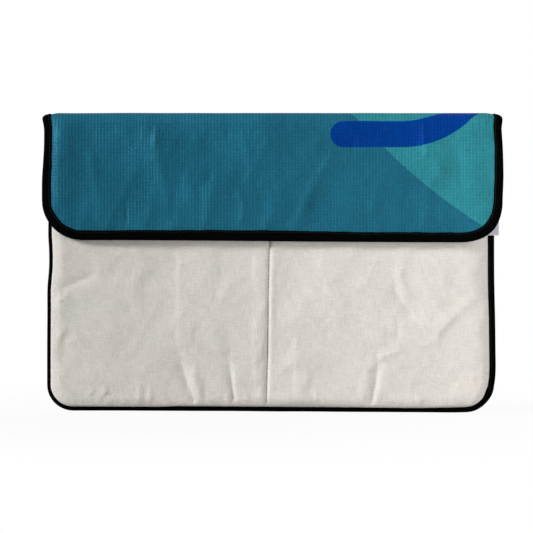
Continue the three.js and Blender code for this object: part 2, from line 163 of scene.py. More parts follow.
def crease(X, Z, points, width, height, taper=0.25, skew=0.0):
    """A ridge (height > 0) or valley along a polyline. taper is the share of its length that
    fades at each end; None makes it start wide and shallow. skew makes one flank steeper."""
    nearest = np.full(np.shape(X), 1e9)
    flank = np.zeros(np.shape(X))
    share = np.zeros(np.shape(X))
    points = [np.array(point, float) for point in points]
    lengths = [np.linalg.norm(b - a) for a, b in zip(points, points[1:])]
    passed = 0.0
    for start, end, length in zip(points, points[1:], lengths):
        step = (end - start) / length
        t = np.clip((X - start[0]) * step[0] + (Z - start[1]) * step[1], 0, length)
        off_x = X - (start[0] + step[0] * t)
        off_z = Z - (start[1] + step[1] * t)
        distance = np.hypot(off_x, off_z)
        closer = distance < nearest
        nearest = np.where(closer, distance, nearest)
        flank = np.where(closer, np.sign(off_x * step[1] - off_z * step[0]), flank)
        share = np.where(closer, (passed + t) / sum(lengths), share)
        passed += length
    width = width * (1 + skew * flank)
    if taper is None:
        width = width * mix(2.6, 1.0, smooth(share * 1.6))
        fade = mix(0.35, 1.0, smooth(share * 1.5)) * smooth(share / 0.15)
        fade = fade * smooth((1 - share) / 0.08)
    else:
        fade = smooth(share / taper) * smooth((1 - share) / taper)
    # a broad swell with a narrow crest
    return height * fade * (0.6 * bell(nearest, 0, width) + 0.4 * bell(nearest, 0, 0.42 * width))


def creases(X, Z, table):
    return sum(crease(X, Z, *row) for row in table)


def spline(xs, ys, x):
    """Smooth curve through a table, held at its ends."""
    x = np.clip(x, xs[0], xs[-1])
    k = np.clip(np.searchsorted(xs, x) - 1, 0, len(xs) - 2)
    slope = np.gradient(ys, xs)
    h = xs[k + 1] - xs[k]
    t = (x - xs[k]) / h
    return ((2 * t**3 - 3 * t**2 + 1) * ys[k] + (t**3 - 2 * t**2 + t) * h * slope[k]
            + (-2 * t**3 + 3 * t**2) * ys[k + 1] + (t**3 - t**2) * h * slope[k + 1])


def xyz(x, y, z):
    return np.stack(np.broadcast_arrays(x, y, z), -1)


def grid(first, second):
    return np.meshgrid(first, second, indexing="ij")


def side_of(across):
    return np.where(across < 0, -1.0, 1.0)


def unit(vectors):
    return vectors / np.linalg.norm(vectors, axis=-1)[..., None]


def grid_normals(surface):
    return unit(np.cross(np.gradient(surface, axis=0), np.gradient(surface, axis=1)))


def resample(path, step):
    """Even steps along a polyline. Returns the points and their distance along it."""
    along = np.concatenate([[0], np.cumsum(np.linalg.norm(np.diff(path, axis=0), axis=1))])
    count = max(2, int(round(along[-1] / step)))
    even = np.linspace(0, along[-1], count + 1)
    columns = [np.interp(even, along, path[:, k]) for k in range(path.shape[1])]
    return np.stack(columns, -1), even


# ---------------------------------------------------------------- mesh building
def warp(name, verts):
    """Small unevenness shared by all layers: the bottom edge runs up a little to the left, and
    no two corners are alike."""
    out = np.array(verts, float)
    x, z = out[:, 0].copy(), out[:, 2].copy()
    out[:, 2] += 1.8 * (1 - smooth((x + 200) / 400)) * (1 - smooth(z / 70))
    near = np.exp(-(((x - 190) ** 2 + (z - 6) ** 2) / 17.0 ** 2))
    out[:, 0] -= 1.1 * near
    out[:, 2] += 1.3 * near
    if name.startswith("flap"):
        near = np.exp(-(((x - 192) ** 2 + (z - 160) ** 2) / 14.0 ** 2))
        out[:, 0] += 0.9 * near
        out[:, 2] -= 1.0 * near
    return out


def build(name, verts, faces, coords, slot, joint, replaced=(), sharp=55):
    """Makes an object with its cloth coordinates and its material. joint is the body it is parented
    to; for a blend between two bodies it is left unparented, its transform baked in. replaced
    names the CAD pieces it stands for."""
    mesh = bpy.data.meshes.new(name)
    mesh.from_pydata((warp(name, verts) * MM).tolist(), [], faces)
    mesh.validate(verbose=False)
    mesh.polygons.foreach_set("use_smooth", np.ones(len(mesh.polygons), bool))
    cloth = np.zeros((len(verts), 3), np.float32)
    cloth[:, :np.shape(coords)[1]] = coords
    attribute = mesh.attributes.new("cloth_mm", "FLOAT_VECTOR", "POINT")
    attribute.data.foreach_set("vector", cloth.ravel())
    if sharp:
        mesh.set_sharp_from_angle(angle=math.radians(sharp))
    mesh.update()
    ob = bpy.data.objects.new(name, mesh)
    bpy.context.scene.collection.objects.link(ob)
    mesh.materials.append(MATERIALS[slot])
    if isinstance(joint, str):
        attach(ob, joint)
    else:
        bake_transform(ob)
    if replaced:
        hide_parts(*replaced)


def if_left(side, *pieces):
    """The CAD has one piece where two halves are built; the left half replaces it."""
    return pieces if side == "left" else ()


def grid_faces(rows, columns, offset=0, flip=False):
    i = np.arange(rows - 1)[:, None]
    j = np.arange(columns - 1)[None, :]
    a = offset + i * columns + j
    b = a + columns
    corners = [a, a + 1, b + 1, b] if flip else [a, b, b + 1, a + 1]
    return np.stack(corners, -1).reshape(-1, 4).tolist()


def facing_out(verts, quads, caps=()):
    """Quads and caps, turned over if the volume inside the quads comes out negative."""
    quad = np.array(quads)
    tri = np.concatenate([quad[:, [0, 1, 2]], quad[:, [0, 2, 3]]])
    normals = np.cross(verts[tri[:, 1]], verts[tri[:, 2]])
    faces = quads + list(caps)
    if np.einsum("ij,ij->i", verts[tri[:, 0]], normals).sum() < 0:
        faces = [face[::-1] for face in faces]
    return faces


def add_shell(name, top, bottom, u, v, slot, joint, replaced=()):
    """Closes two equal grids into one thin solid; u and v are its cloth coordinates."""
    rows, columns, _ = top.shape
    count = rows * columns
    verts = np.concatenate([top.reshape(-1, 3), bottom.reshape(-1, 3)])
    quads = grid_faces(rows, columns) + grid_faces(rows, columns, count, flip=True)
    rim = [(i, 0) for i in range(rows)]
    rim += [(rows - 1, j) for j in range(1, columns)]
    rim += [(i, columns - 1) for i in range(rows - 2, -1, -1)]
    rim += [(0, j) for j in range(columns - 2, 0, -1)]
    index = [i * columns + j for i, j in rim]
    for a, b in zip(index, index[1:] + index[:1]):
        quads.append([b, a, a + count, b + count])
    coords = np.concatenate([np.stack([u, v], -1).reshape(-1, 2)] * 2)
    build(name, verts, facing_out(verts, quads), coords, slot, joint, replaced)


def add_tube(name, rings, u, v, joint, replaced):
    """A tape: closed cross-sections (path, profile, 3) joined into a solid with capped ends."""
    count, size, _ = rings.shape
    verts = rings.reshape(-1, 3)
    i = np.arange(count - 1)[:, None] * size
    j = np.arange(size)[None, :]
    after = (j + 1) % size
    quads = np.stack([i + j, i + size + j, i + size + after, i + after], -1)
    caps = [list(range(size)), list(range((count - 1) * size, count * size))[::-1]]
    faces = facing_out(verts, quads.reshape(-1, 4).tolist(), caps)
    coords = np.stack(np.broadcast_arrays(u, v), -1).reshape(-1, 2)
    build(name, verts, faces, coords, "binding_tape", joint, replaced)


def rod_faces(count, rings, sides):
    """Faces of many small capped rods whose vertices follow one another."""
    faces = []
    for rod in range(count):
        base = rod * rings * sides
        last = base + (rings - 1) * sides
        for start in range(base, last, sides):
            for q in range(sides):
                after = (q + 1) % sides
                faces.append([start + q, start + after, start + sides + after, start + sides + q])
        faces.append(list(range(base, base + sides))[::-1])
        faces.append(list(range(last, last + sides)))
    return faces


# One stitch: (place along its length, share of the radius)
STITCH_STATIONS = [(-0.5, 0.25), (-0.42, 0.72), (-0.22, 1.0), (0.22, 1.0), (0.42, 0.72), (0.5, 0.25)]
STITCH_SIDES = 6


def add_stitches(name, path, normal, joint, replaced=(), slot="black_thread",
                 pitch=2.8, length=2.1, radius=0.26, seed=3):
    """Evenly spaced rounded stitches along a line of points."""
    normal = np.broadcast_to(np.asarray(normal, float), path.shape)
    along = np.concatenate([[0], np.cumsum(np.linalg.norm(np.diff(path, axis=0), axis=1))])
    places = np.arange(pitch * 0.5, along[-1], pitch)

    def at(where, values):
        return np.stack([np.interp(where, along, values[:, k]) for k in range(3)], -1)

    centre = at(places, path)
    ahead = unit(at(places + 0.4, path) - at(places - 0.4, path))
    up = at(places, normal)
    up = unit(up - (up * ahead).sum(1)[:, None] * ahead)
    rng = np.random.default_rng(seed)
    lengths = length * (1 + rng.normal(0, 0.04, len(centre)))
    position, share = np.array(STITCH_STATIONS).T[:, :, None]
    turn = TAU * np.arange(STITCH_SIDES) / STITCH_SIDES
    # flattened to 0.7 of the radius, with ends that dip into the cloth
    lift = radius * (0.7 * share * np.sin(turn) - 0.55 * (2 * position) ** 2)

    def spread(vectors, amount):
        return vectors[:, None, None] * amount[..., None]

    verts = (centre[:, None, None] + spread(ahead, lengths[:, None, None] * position)
             + spread(np.cross(ahead, up), radius * share * np.cos(turn))
             + spread(up, lift)).reshape(-1, 3)
    faces = rod_faces(len(centre), len(STITCH_STATIONS), STITCH_SIDES)
    faces = [face[::-1] for face in faces]
    build(name, verts, faces, verts, slot, joint, replaced, sharp=None)


# ---------------------------------------------------------------- outlines
# The printed sheet has its own coordinates: X across, and run along it, which is 0 on top of
# the fold, grows down the flap and falls down the back.
QUARTER_ANGLE = np.linspace(0, math.pi / 2, 400)
_step = np.hypot(FOLD_HALF_DEPTH * np.sin(QUARTER_ANGLE), FOLD_RISE * np.cos(QUARTER_ANGLE))
QUARTER_ARC = np.concatenate(
    [[0], np.cumsum((_step[1:] + _step[:-1]) / 2 * np.diff(QUARTER_ANGLE))])
QUARTER = float(QUARTER_ARC[-1])      # length of a quarter of the fold


def sheet_run(Z):
    """Run at height Z on the flap; the same height on the back has minus this run."""
    return QUARTER + (FOLD_Z - Z)


# Outer edge of the flap's binding: (run, half width on the left, half width on the right)
FLAP_EDGE = np.array([
    (-60, 195.3, 195.0), (-40, 196.5, 196.2), (-30, 197.4, 197.3), (-20, 198.6, 198.8),
    (-11, 199.8, 200.4), (0, 200.6, 201.8), (8, 200.9, 202.6), (13, 200.6, 202.7),
    (18, 199.7, 202.2), (22, 199.2, 201.9), (28, 199.1, 202.2), (40, 199.3, 202.9),
    (52, 200.0, 203.3), (66, 200.9, 203.4), (84, 201.0, 202.7), (120, 201.0, 202.7),
]).T
FLAP_EDGE_SCALE = 0.9965
# Outer edge of the pouch's binding: (height, half width)
POUCH_EDGE_LEFT = np.array([
    (-5, 195.7), (20, 195.7), (60, 195.7), (90, 195.5), (110, 195.4), (128, 194.0),
    (142, 194.0), (155, 194.7), (170, 194.6), (215, 194.6), (260, 194.6),
]).T
POUCH_EDGE_RIGHT = np.array([
    (-5, 193.4), (15, 193.6), (30, 195.2), (60, 195.3), (85, 195.0), (105, 194.5),
    (130, 194.2), (150, 194.2), (180, 194.3), (215, 194.3), (260, 194.3),
]).T
POUCH_SCALE_LEFT, POUCH_SCALE_RIGHT = 1.0050, 1.0071


def flap_half_width(side, run):
    runs, left, right = FLAP_EDGE
    return np.where(side < 0, spline(runs, left, run), spline(runs, right, run)) * FLAP_EDGE_SCALE


def flap_bottom(x):
    """Height of the flap's lower edge, which falls a little to the right."""
    return FLAP_BOTTOM + 1.2 - 1.1 * np.tanh(np.asarray(x) / 110.0)


def pouch_half_width(X, Z):
    return np.where(np.asarray(X) < 0, spline(*POUCH_EDGE_LEFT, Z) * POUCH_SCALE_LEFT,
                    spline(*POUCH_EDGE_RIGHT, Z) * POUCH_SCALE_RIGHT)


def pouch_inset(X, Z):
    """Distance in from the pouch's outer edge on its three sewn sides."""
    half_width = pouch_half_width(X, Z)
    across = np.abs(X)
    corner = (across > half_width - POUCH_R) & (Z < POUCH_R)
    from_arc = POUCH_R - np.hypot(across - (half_width - POUCH_R), POUCH_R - Z)
    return np.where(corner, from_arc, np.minimum(half_width - across, Z))


def seam_x(Z):
    """The canvas's centre seam leans a little."""
    return SEAM_TOP_X + 1.0 - (148.5 - Z) * 0.0181


def corner_polar(X, Z, half_width, base, radius):
    """Maps the square corners of a grid to round ones. Returns the mask of the corner, the
    share of the radius, the angle, and the two square coordinates."""
    p = (np.abs(X) - (half_width - radius)) / radius
    q = ((base + radius) - Z) / radius
    corner = (p > 0) & (q > 0)
    out, down = np.where(corner, p, 1.0), np.where(corner, q, 1.0)
    angle = np.where(out >= down, math.pi / 4 * down / out,
                     math.pi / 2 - math.pi / 4 * out / down)
    return corner, np.maximum(out, down), angle, p, q


def round_bottom(X, Z, half_width, base, radius):
    """Rounds the bottom corners of a grid."""
    corner, share, angle, _, _ = corner_polar(X, Z, half_width, base, radius)
    round_x = np.sign(X) * ((half_width - radius) + radius * share * np.cos(angle))
    round_z = (base + radius) - radius * share * np.sin(angle)
    return np.where(corner, round_x, X), np.where(corner, round_z, Z)


def across_stations(count):
    """Places across in -1..1, denser towards the edges."""
    reach = math.pi / 2 * 0.62
    return np.sin(np.linspace(-1, 1, count) * reach) / math.sin(reach)


# ---------------------------------------------------------------- relief of the padded faces
# Height fields that Cloth makes: left, right, bottom, top, heights.
SIMULATED = {}


def simulated(key, X, Z):
    if key not in SIMULATED:
        return 0.0
    left, right, bottom, top, field = SIMULATED[key]
    columns, rows = field.shape
    u = np.clip((X - left) / (right - left) * (columns - 1), 0, columns - 1.001)
    v = np.clip((Z - bottom) / (top - bottom) * (rows - 1), 0, rows - 1.001)
    i, j = u.astype(int), v.astype(int)
    u, v = smooth(u - i), smooth(v - j)
    return mix(mix(field[i, j], field[i + 1, j], u), mix(field[i, j + 1], field[i + 1, j + 1], u), v)


def edge_rise(inset, end=24.0):
    """0 at the sewn rim, 1 where a face reaches its full depth."""
    return 1 - (1 - np.clip((inset - 4.4) / (end - 4.4), 0, 1)) ** 2.3


def puckers(along, inset, seed, height, reach=16.0):
    """Short gathers that run in from a sewn edge."""
    wave = noise(along / 6.5, seed, seed) + 0.6 * noise(along / 3.6, 3, seed + 5)
    fade = smooth((inset - 3.5) / 3.0) * np.exp(-np.maximum(inset - 6, 0) / reach * 2.2)
    return height * wave * fade


# Crease tables: (points (x, z), width, height[, taper[, skew]]), as in crease()
BACK_CREASES = [
    ([(-150, 34), (-96, 70), (-70, 118)], 7, 0.45),
    ([(60, 20), (88, 60), (80, 96)], 6, -0.5),
    ([(120, 180), (158, 128), (186, 96)], 6, 0.5),
    ([(-188, 190), (-150, 168), (-120, 170)], 5, -0.4),
]
FLAP_CREASES = [
    ([(-160, 238), (-154, 205), (-147, 172)], 8.5, 0.5, 0.3),
    ([(-101, 256), (-99, 226), (-93, 200), (-88, 168)], 10, 0.72, 0.2),
    ([(-97, 264), (-100.5, 246), (-103, 226)], 3.4, 0.42, 0.2),
    ([(-78, 228), (-64, 198), (-60, 176)], 8, -0.4, 0.3),
    ([(-128.5, 190), (-127, 175), (-127.5, 160)], 2.0, -0.4, 0.3),
    ([(-28, 255), (-18, 216), (-22, 190)], 5.5, 0.38, 0.3),
    ([(-52, 236), (-48, 205), (-58, 172)], 8, 0.35, 0.3),
    ([(58, 232), (40, 205), (24, 176)], 9, 0.5, 0.3),
    ([(106, 224), (95, 196), (84, 166)], 11, 0.62, 0.3),
    ([(-38, 266), (-37.8, 238)], 2.4, -0.42, 0.25),
    ([(44, 264), (44.3, 247)], 2.2, -0.4, 0.3),
    ([(-31, 199), (-24, 182), (-26, 160)], 4.6, 0.5, 0.25),
    ([(131.5, 264), (133.5, 240), (136, 220)], 3.0, 0.6, 0.15),
    ([(136, 242), (142, 222), (156, 192)], 8, 0.72, 0.25),
    ([(149, 226), (143, 196)], 6, 0.35, 0.3),
    ([(160, 250), (164, 214), (168, 186)], 7, -0.35, 0.3),
]
# Those with taper None are gathers that run down to the bottom seam
FRONT_CREASES = [
    ([(-84, 62), (-77, 36), (-66.5, 6)], 4.6, -1.3, None, 0.35),
    ([(-72, 40), (-63.5, 20), (-62, 8)], 4.0, 0.55, 0.3),
    ([(-38, 58), (-36, 40), (-32.6, 8)], 3.2, -1.2, None, 0.3),
    ([(-40.5, 16), (-36, 8)], 2.4, 0.5, 0.3),
    ([(-44, 14), (-41, 6)], 2.2, -0.35, 0.3),
    ([(92, 62), (93.5, 40), (88, 5)], 4.2, -1.2, None, 0.3),
    ([(92, 46), (104, 52), (118, 57)], 4.2, 0.5, 0.3),
    ([(104.5, 116), (113, 98), (128, 80)], 4.8, -0.85, 0.25, 0.2),
    ([(110, 130), (115, 112), (122, 98)], 3.6, 0.75, 0.3),
    ([(108.5, 86), (111, 72), (110, 60)], 3.0, -0.45, 0.3),
    ([(186, 107), (160, 85), (136, 60), (118, 52)], 5.6, 0.4, 0.25),
    ([(176, 108), (150, 90), (140, 74)], 7, -0.36, 0.3),
    ([(150, 128), (152, 104)], 6, 0.3, 0.3),
    ([(-194, 104), (-176, 112), (-148, 124)], 6.6, -0.8, 0.3),
    ([(-190, 97), (-176, 103)], 4.0, 0.6, 0.3),
    ([(-180, 78), (-182, 52), (-184, 30)], 8.5, -0.55, 0.4),
    ([(-140, 78), (-118, 96)], 8, -0.3, 0.3),
    ([(-162, 12), (-154, 21)], 2.4, 0.4, 0.3),
    ([(-149, 12), (-143, 21)], 2.4, 0.42, 0.3),
    ([(-106, 24), (-105.5, 8)], 2.6, 0.45, 0.3),
    ([(30, 24), (38, 10)], 3.0, -0.4, 0.3),
    ([(38, 20), (41, 9)], 3.0, 0.35, 0.3),
    ([(-120, 140), (-104, 118)], 7, 0.35, 0.3),
    ([(-10, 130), (-40, 108), (-52, 84)], 9, 0.35, 0.3),
    ([(150, 40), (176, 26)], 5, 0.35, 0.3),
    ([(60, 120), (72, 90)], 8, -0.25, 0.3),
]
FLAP_RELIEF, FRONT_RELIEF = 3.3, 2.0     # what the noise and the creases are multiplied by


def back_bulge(X, Z):
    inset = pouch_inset(X, Z)
    relief = 0.55 * fractal(X / 70, Z / 60, 5) + 0.25 * fractal(X / 26, Z / 30, 8)
    relief = relief + creases(X, Z, BACK_CREASES)
    fade = smooth((inset - 5) / 22) * smooth((FOLD_Z - 2 - Z) / 26)
    sim_fade = smooth((inset - 4) / 10) * smooth((FOLD_Z - 1 - Z) / 14)
    return fade * relief + simulated("back", X, Z) * sim_fade


def flap_bulge(X, run):
    """How far the flap's face stands out from its plane."""
    Z = FOLD_Z - (run - QUARTER)
    below_fold = smooth((run - QUARTER + 6) / 16)
    half_width = flap_half_width(np.sign(X + 1e-9), run)
    inset = np.minimum(half_width - np.abs(X), Z - flap_bottom(X))
    relief = 0.20 * fractal(X / 55, Z / 160, 21) + 0.16 * fractal(X / 17, Z / 95, 22)
    relief = FLAP_RELIEF * (relief + creases(X, Z, FLAP_CREASES))
    soft = (1.5 * fractal(X / 30 + Z / 60, Z / 42, 83, 2)
            + 2.6 * ridges(X / 27 - Z / 70, Z / 55, 84)
            + 0.6 * ridges(X / 15 + Z / 50, Z / 60, 85))
    relief = relief + soft * mix(0.6, 0.75, smooth((X + 70) / 40))
    # rolls along both side edges; the left one bows out halfway down
    ends = smooth((266 - Z) / 26) * smooth((Z - 164) / 34)
    bowed = X + 1.6 * np.cos((Z - 212) / 34)
    left_roll = (3.0 + 1.0 * smooth((Z - 200) / 30)) * ends
    left_roll = left_roll * np.where(bowed < -182.5, smooth((bowed + 193.0) / 10.5),
                                     1 - smooth((bowed + 182.5) / 24))
    left_roll = left_roll * (1 + 0.15 * noise(Z / 14, 7, 78))
    right_roll = 1.5 * ends * np.where(X > 184, smooth((194 - X) / 10), smooth((X - 160) / 24))
    pulled_in = -0.75 * (1 - smooth((inset - 4) / 9.0)) * below_fold    # under the binding
    slack = -0.36 * bell(run - QUARTER, 4, 7.0)                         # just under the fold
    lift = 0.5 * smooth((run - 60) / 40)
    lean = 1.1 * smooth((run - QUARTER + 8) / 30)
    sim = simulated("flap", X, Z) * below_fold * smooth((inset - 5) / 12)
    return (below_fold * relief * smooth((inset - 3) / 7)
            + pulled_in + slack + lift + lean + left_roll + right_roll + sim)


def front_bulge(X, Z):
    inset = pouch_inset(X, Z)
    crown = 1.5 * smooth((inset - 14) / 60) * smooth((140 - Z) / 40)
    relief = (0.72 * fractal(X / 66, Z / 58, 51) + 0.22 * fractal(X / 24, Z / 22, 52)
              + 0.5 * ridges(X / 46 + Z / 70, Z / 52, 53)
              + 0.28 * ridges(X / 24 - Z / 40, Z / 30, 54)
              + creases(X, Z, FRONT_CREASES))
    flatter = mix(0.35, 1.0, smooth((158 - Z) / 16))     # where the closed flap lies on it
    sim = simulated("front", X, Z) * smooth((inset - 4) / 12)
    return (FRONT_RELIEF * relief * smooth((inset - 3) / 9) + sim) * flatter + crown


# ---------------------------------------------------------------- the surfaces
def sheet_middle(X, run):
    """Middle of the one sheet that makes the back, the fold and the flap."""
    X, run = np.broadcast_arrays(np.asarray(X, float), np.asarray(run, float))
    side_inset = flap_half_width(np.sign(X + 1e-9), run) - np.abs(X)
    # back
    back_z = FOLD_Z + (run + QUARTER)
    sewn_inset = pouch_inset(X, back_z)
    rim_y = mix(SEAM_Y + RIM, BACK_Y - 0.9, smooth((back_z - 222) / (FOLD_Z + 3 - 222)))
    inset = mix(sewn_inset, np.minimum(side_inset, back_z), smooth((back_z - 200) / 20))
    along = np.where(np.abs(X) > POUCH_HW - 30, back_z, X)
    back_y = mix(rim_y, BACK_Y, edge_rise(inset)) + back_bulge(X, back_z)
    back_y = back_y + puckers(along, sewn_inset, 41, 0.3) * smooth((235 - back_z) / 20)
    # fold
    angle = np.interp(np.clip(QUARTER - np.abs(run), 0, QUARTER), QUARTER_ARC, QUARTER_ANGLE)
    cos = np.cos(angle)
    behind = np.where(run < 0, 1.0, -1.0)
    fold_y = FOLD_MID_Y + behind * FOLD_HALF_DEPTH * cos
    fold_y = fold_y - np.where(run < 0, 0.9 * (1 - smooth(side_inset / 14.0)) * cos, 0)
    fold_y = fold_y - np.where(run > 0, flap_bulge(X, np.maximum(run, 0)) * cos, 0)
    fold_z = FOLD_Z + FOLD_RISE * np.sin(angle)
    # flap
    flap_y = FLAP_Y - flap_bulge(X, run)
    flap_z = FOLD_Z - (run - QUARTER)

    y = np.where(run < -QUARTER, back_y, np.where(run > QUARTER, flap_y, fold_y))
    z = np.where(run < -QUARTER, back_z, np.where(run > QUARTER, flap_z, fold_z))
    # the fold's ends droop and its crest waves
    droop = 3.1 * smooth((15 - side_inset) / 15) ** 1.4 * bell(run, 0, 13.5)
    wave = (0.6 + 0.25 * fractal(X / 60, 2, 77)) * bell(run, 0, 12)
    return xyz(X, y, z + (wave - droop))


def on_sheet(X, run, offset):
    """Points moved by offset along the sheet's outward normal, and the normals."""
    X, run = np.asarray(X), np.asarray(run)
    e = 0.6
    normal = unit(-np.cross(sheet_middle(X + e, run) - sheet_middle(X - e, run),
                            sheet_middle(X, run + e) - sheet_middle(X, run - e)))
    return sheet_middle(X, run) + normal * np.asarray(offset)[..., None], normal


def front_y(X, Z):
    """Depth of the canvas."""
    return mix(CANVAS_RIM, FRONT_Y, edge_rise(pouch_inset(X, Z), 22.0)) - front_bulge(X, Z)


def front_lining_y(X, Z):
    """Depth of the lining behind it, which takes up part of the relief."""
    rise = edge_rise(pouch_inset(X, Z), 22.0)
    return mix(SEAM_Y - 0.35, FRONT_LINING_Y, rise) - 0.35 * front_bulge(X, Z)


def lining_depth(run):
    """How far the lining lies inside the sheet: shallow over the fold, deeper on both sides."""
    beyond = np.abs(run) - QUARTER
    back = mix(0.95, BACK_Y - BACK_LINING_Y, smooth((beyond - 4) / 10))
    flap = mix(0.95, FLAP_LINING_DEPTH, smooth((beyond - 2) / 10))
    return np.where(run < 0, back, flap)


def flap_lining_depth(X, run):
    dip = np.where(run > QUARTER, np.minimum(flap_bulge(X, run) + 0.2, 0), 0)
    return np.maximum(lining_depth(run) + 0.85 * dip, 1.0)


def flap_lining_relief(X, run):
    return 0.35 * fractal(X / 26, run / 30, 91)


def flap_inner_depth(X, run):
    """Depth of the face that the hook tape is sewn to."""
    return flap_lining_depth(X, run) + HALF_LINING + flap_lining_relief(X, run)


# ---------------------------------------------------------------- materials
def feed(tree, socket, value):
    """Links a Value or an output to a socket, or sets a colour or a number on it."""
    if isinstance(value, Value):
        value = value.socket
    if isinstance(value, bpy.types.NodeSocket):
        tree.links.new(value, socket)
    elif isinstance(value, tuple):
        socket.default_value = value + (1.0,)
    else:
        socket.default_value = value


def set_range(node, *limits):
    """Map Range limits: from low, from high, to low, to high."""
    for k, limit in enumerate(limits, start=1):
        node.inputs[k].default_value = limit


class Value:
    """A number in a node tree, with arithmetic."""
    def __init__(self, tree, socket):
        self.tree = tree
        self.socket = socket

    def op(self, operation, *others):
        node = self.tree.nodes.new("ShaderNodeMath")
        node.operation = operation
        for k, value in enumerate((self,) + others):
            feed(self.tree, node.inputs[k], value)
        return Value(self.tree, node.outputs[0])

    def __add__(self, other): return self.op("ADD", other)
    __radd__ = __add__
    def __sub__(self, other): return self.op("SUBTRACT", other)
    def __rsub__(self, other): return (self * -1) + other
    def __mul__(self, other): return self.op("MULTIPLY", other)
    __rmul__ = __mul__
    def abs(self): return self.op("ABSOLUTE")
    def sqrt(self): return self.op("SQRT")
    def pow(self, power): return self.op("POWER", power)
    def min(self, other): return self.op("MINIMUM", other)
    def max(self, other): return self.op("MAXIMUM", other)
    def lt(self, other): return self.op("LESS_THAN", other)
    def gt(self, other): return self.op("GREATER_THAN", other)
    def sine(self, pitch): return (self * (TAU / pitch)).op("SINE")
    def cosine(self, pitch): return (self * (TAU / pitch)).op("COSINE")

    def swing(self, amount):
        """A 0..1 noise turned into a swing around zero."""
        return (self - 0.5) * amount

    def ramp(self, start, end, low=0.0, high=1.0):
        """Smooth step from low at start to high at end."""
        node = self.tree.nodes.new("ShaderNodeMapRange")
        node.interpolation_type = "SMOOTHSTEP"
        self.tree.links.new(self.socket, node.inputs[0])
        set_range(node, start, end, low, high)
        return Value(self.tree, node.outputs[0])


class Cloth:
    """A material over the cloth coordinates u, v, w in mm."""
    def __init__(self, name):
        self.material = bpy.data.materials.new(name)
        self.material.use_nodes = True
        self.tree = self.material.node_tree
        attribute = self.node("ShaderNodeAttribute")
        attribute.attribute_name = "cloth_mm"
        self.vector = attribute.outputs["Vector"]
        split = self.node("ShaderNodeSeparateXYZ")
        self.tree.links.new(self.vector, split.inputs[0])
        self.u, self.v, self.w = (Value(self.tree, out) for out in split.outputs)

    def node(self, kind):
        return self.tree.nodes.new(kind)

    def mapped(self, scale, offset=0.0):
        node = self.node("ShaderNodeMapping")
        self.tree.links.new(self.vector, node.inputs[0])
        node.inputs["Scale"].default_value = scale
        node.inputs["Location"].default_value = (offset, offset * 0.7, 0)
        return node.outputs[0]

    def noise(self, size, detail=2.0, rough=0.5, stretch=(1, 1, 1), offset=0.0):
        """Noise with features of size mm; a small stretch makes them long on that axis."""
        mapped = self.mapped(tuple(s / size for s in stretch), offset)
        node = self.node("ShaderNodeTexNoise")
        self.tree.links.new(mapped, node.inputs["Vector"])
        node.inputs["Scale"].default_value = 1.0
        node.inputs["Detail"].default_value = detail
        node.inputs["Roughness"].default_value = rough
        return Value(self.tree, node.outputs["Fac"])

    def mix(self, share, first, second, mode="MIX"):
        node = self.node("ShaderNodeMix")
        node.data_type = "RGBA"
        node.blend_type = mode
        for k, value in ((0, share), (6, first), (7, second)):
            feed(self.tree, node.inputs[k], value)
        return node.outputs[2]

    def shade(self, colour, tone):
        """colour times the number tone"""
        grey = self.node("ShaderNodeCombineXYZ")
        for k in range(3):
            self.tree.links.new(tone.socket, grey.inputs[k])
        return self.mix(1.0, colour, grey.outputs[0], "MULTIPLY")

    def bump(self, height, distance, below=None):
        """Bump of distance mm, over the normal below if there is one."""
        node = self.node("ShaderNodeBump")
        node.inputs["Distance"].default_value = distance * MM
        node.inputs["Strength"].default_value = 1.0
        self.tree.links.new(height.socket, node.inputs["Height"])
        if below is not None:
            self.tree.links.new(below, node.inputs["Normal"])
        return node.outputs[0]

    def done(self, colour, rough, normal, **others):
        shader = self.tree.nodes["Principled BSDF"]
        others.update(Base_Color=colour, Roughness=rough, Normal=normal)
        for name, value in others.items():
            feed(self.tree, shader.inputs[name.replace("_", " ")], value)
        return self.material


def srgb(*channels):
    """Linear colour from 0..255 sRGB channels."""
    shares = [channel / 255 for channel in channels]
    return tuple(c / 12.92 if c <= 0.04045 else ((c + 0.055) / 1.055) ** 2.4 for c in shares)


def print_colour(m):
    """Teal, aqua inside a wide circle, and one blue band with round ends."""
    u, v = m.u, m.v
    teal, aqua, blue = srgb(27, 92, 114), srgb(41, 121, 131), srgb(0, 52, 127)
    soft_edge = 0.25
    circle_u, circle_above, circle_radius = 451.0, 316.0, 500.0
    circle_du, circle_dv = u - circle_u, v + circle_above
    circle_distance = (circle_du * circle_du + circle_dv * circle_dv).sqrt()
    in_circle = (circle_radius - circle_distance).ramp(-soft_edge, soft_edge)
    # the band's centre line: straight, then an arc of 65 degrees, then straight to the side
    band_u, band_v, band_length, half_band = 62.9, 27.0, 51.6, 11.35
    arc_above = 46.6
    turn_cos, turn_sin = 0.4226, 0.9063
    last_u, last_above = 181.2, 15.5
    past = (u - band_u).max(0.0).min(band_length) - (u - band_u)
    to_first = (past * past + (v - band_v) * (v - band_v)).sqrt()
    arc_du, arc_dv = u - (band_u + band_length), v + arc_above
    ring = ((arc_du * arc_du + arc_dv * arc_dv).sqrt() - (band_v + arc_above)).abs()
    arc_on = arc_du.gt(0.0) * (arc_du * turn_cos - arc_dv * turn_sin).lt(0.0)
    last_du, last_dv = u - last_u, v + last_above
    along = (last_du * turn_cos + last_dv * -turn_sin).max(0.0)
    off_u, off_v = last_du - along * turn_cos, last_dv - along * -turn_sin
    to_last = (off_u * off_u + off_v * off_v).sqrt()
    to_arc = ring + (1.0 - arc_on) * 1000.0
    in_band = (to_first.min(to_arc).min(to_last) - half_band).ramp(soft_edge, -soft_edge)
    return m.mix(in_band, m.mix(in_circle, teal, aqua), blue)


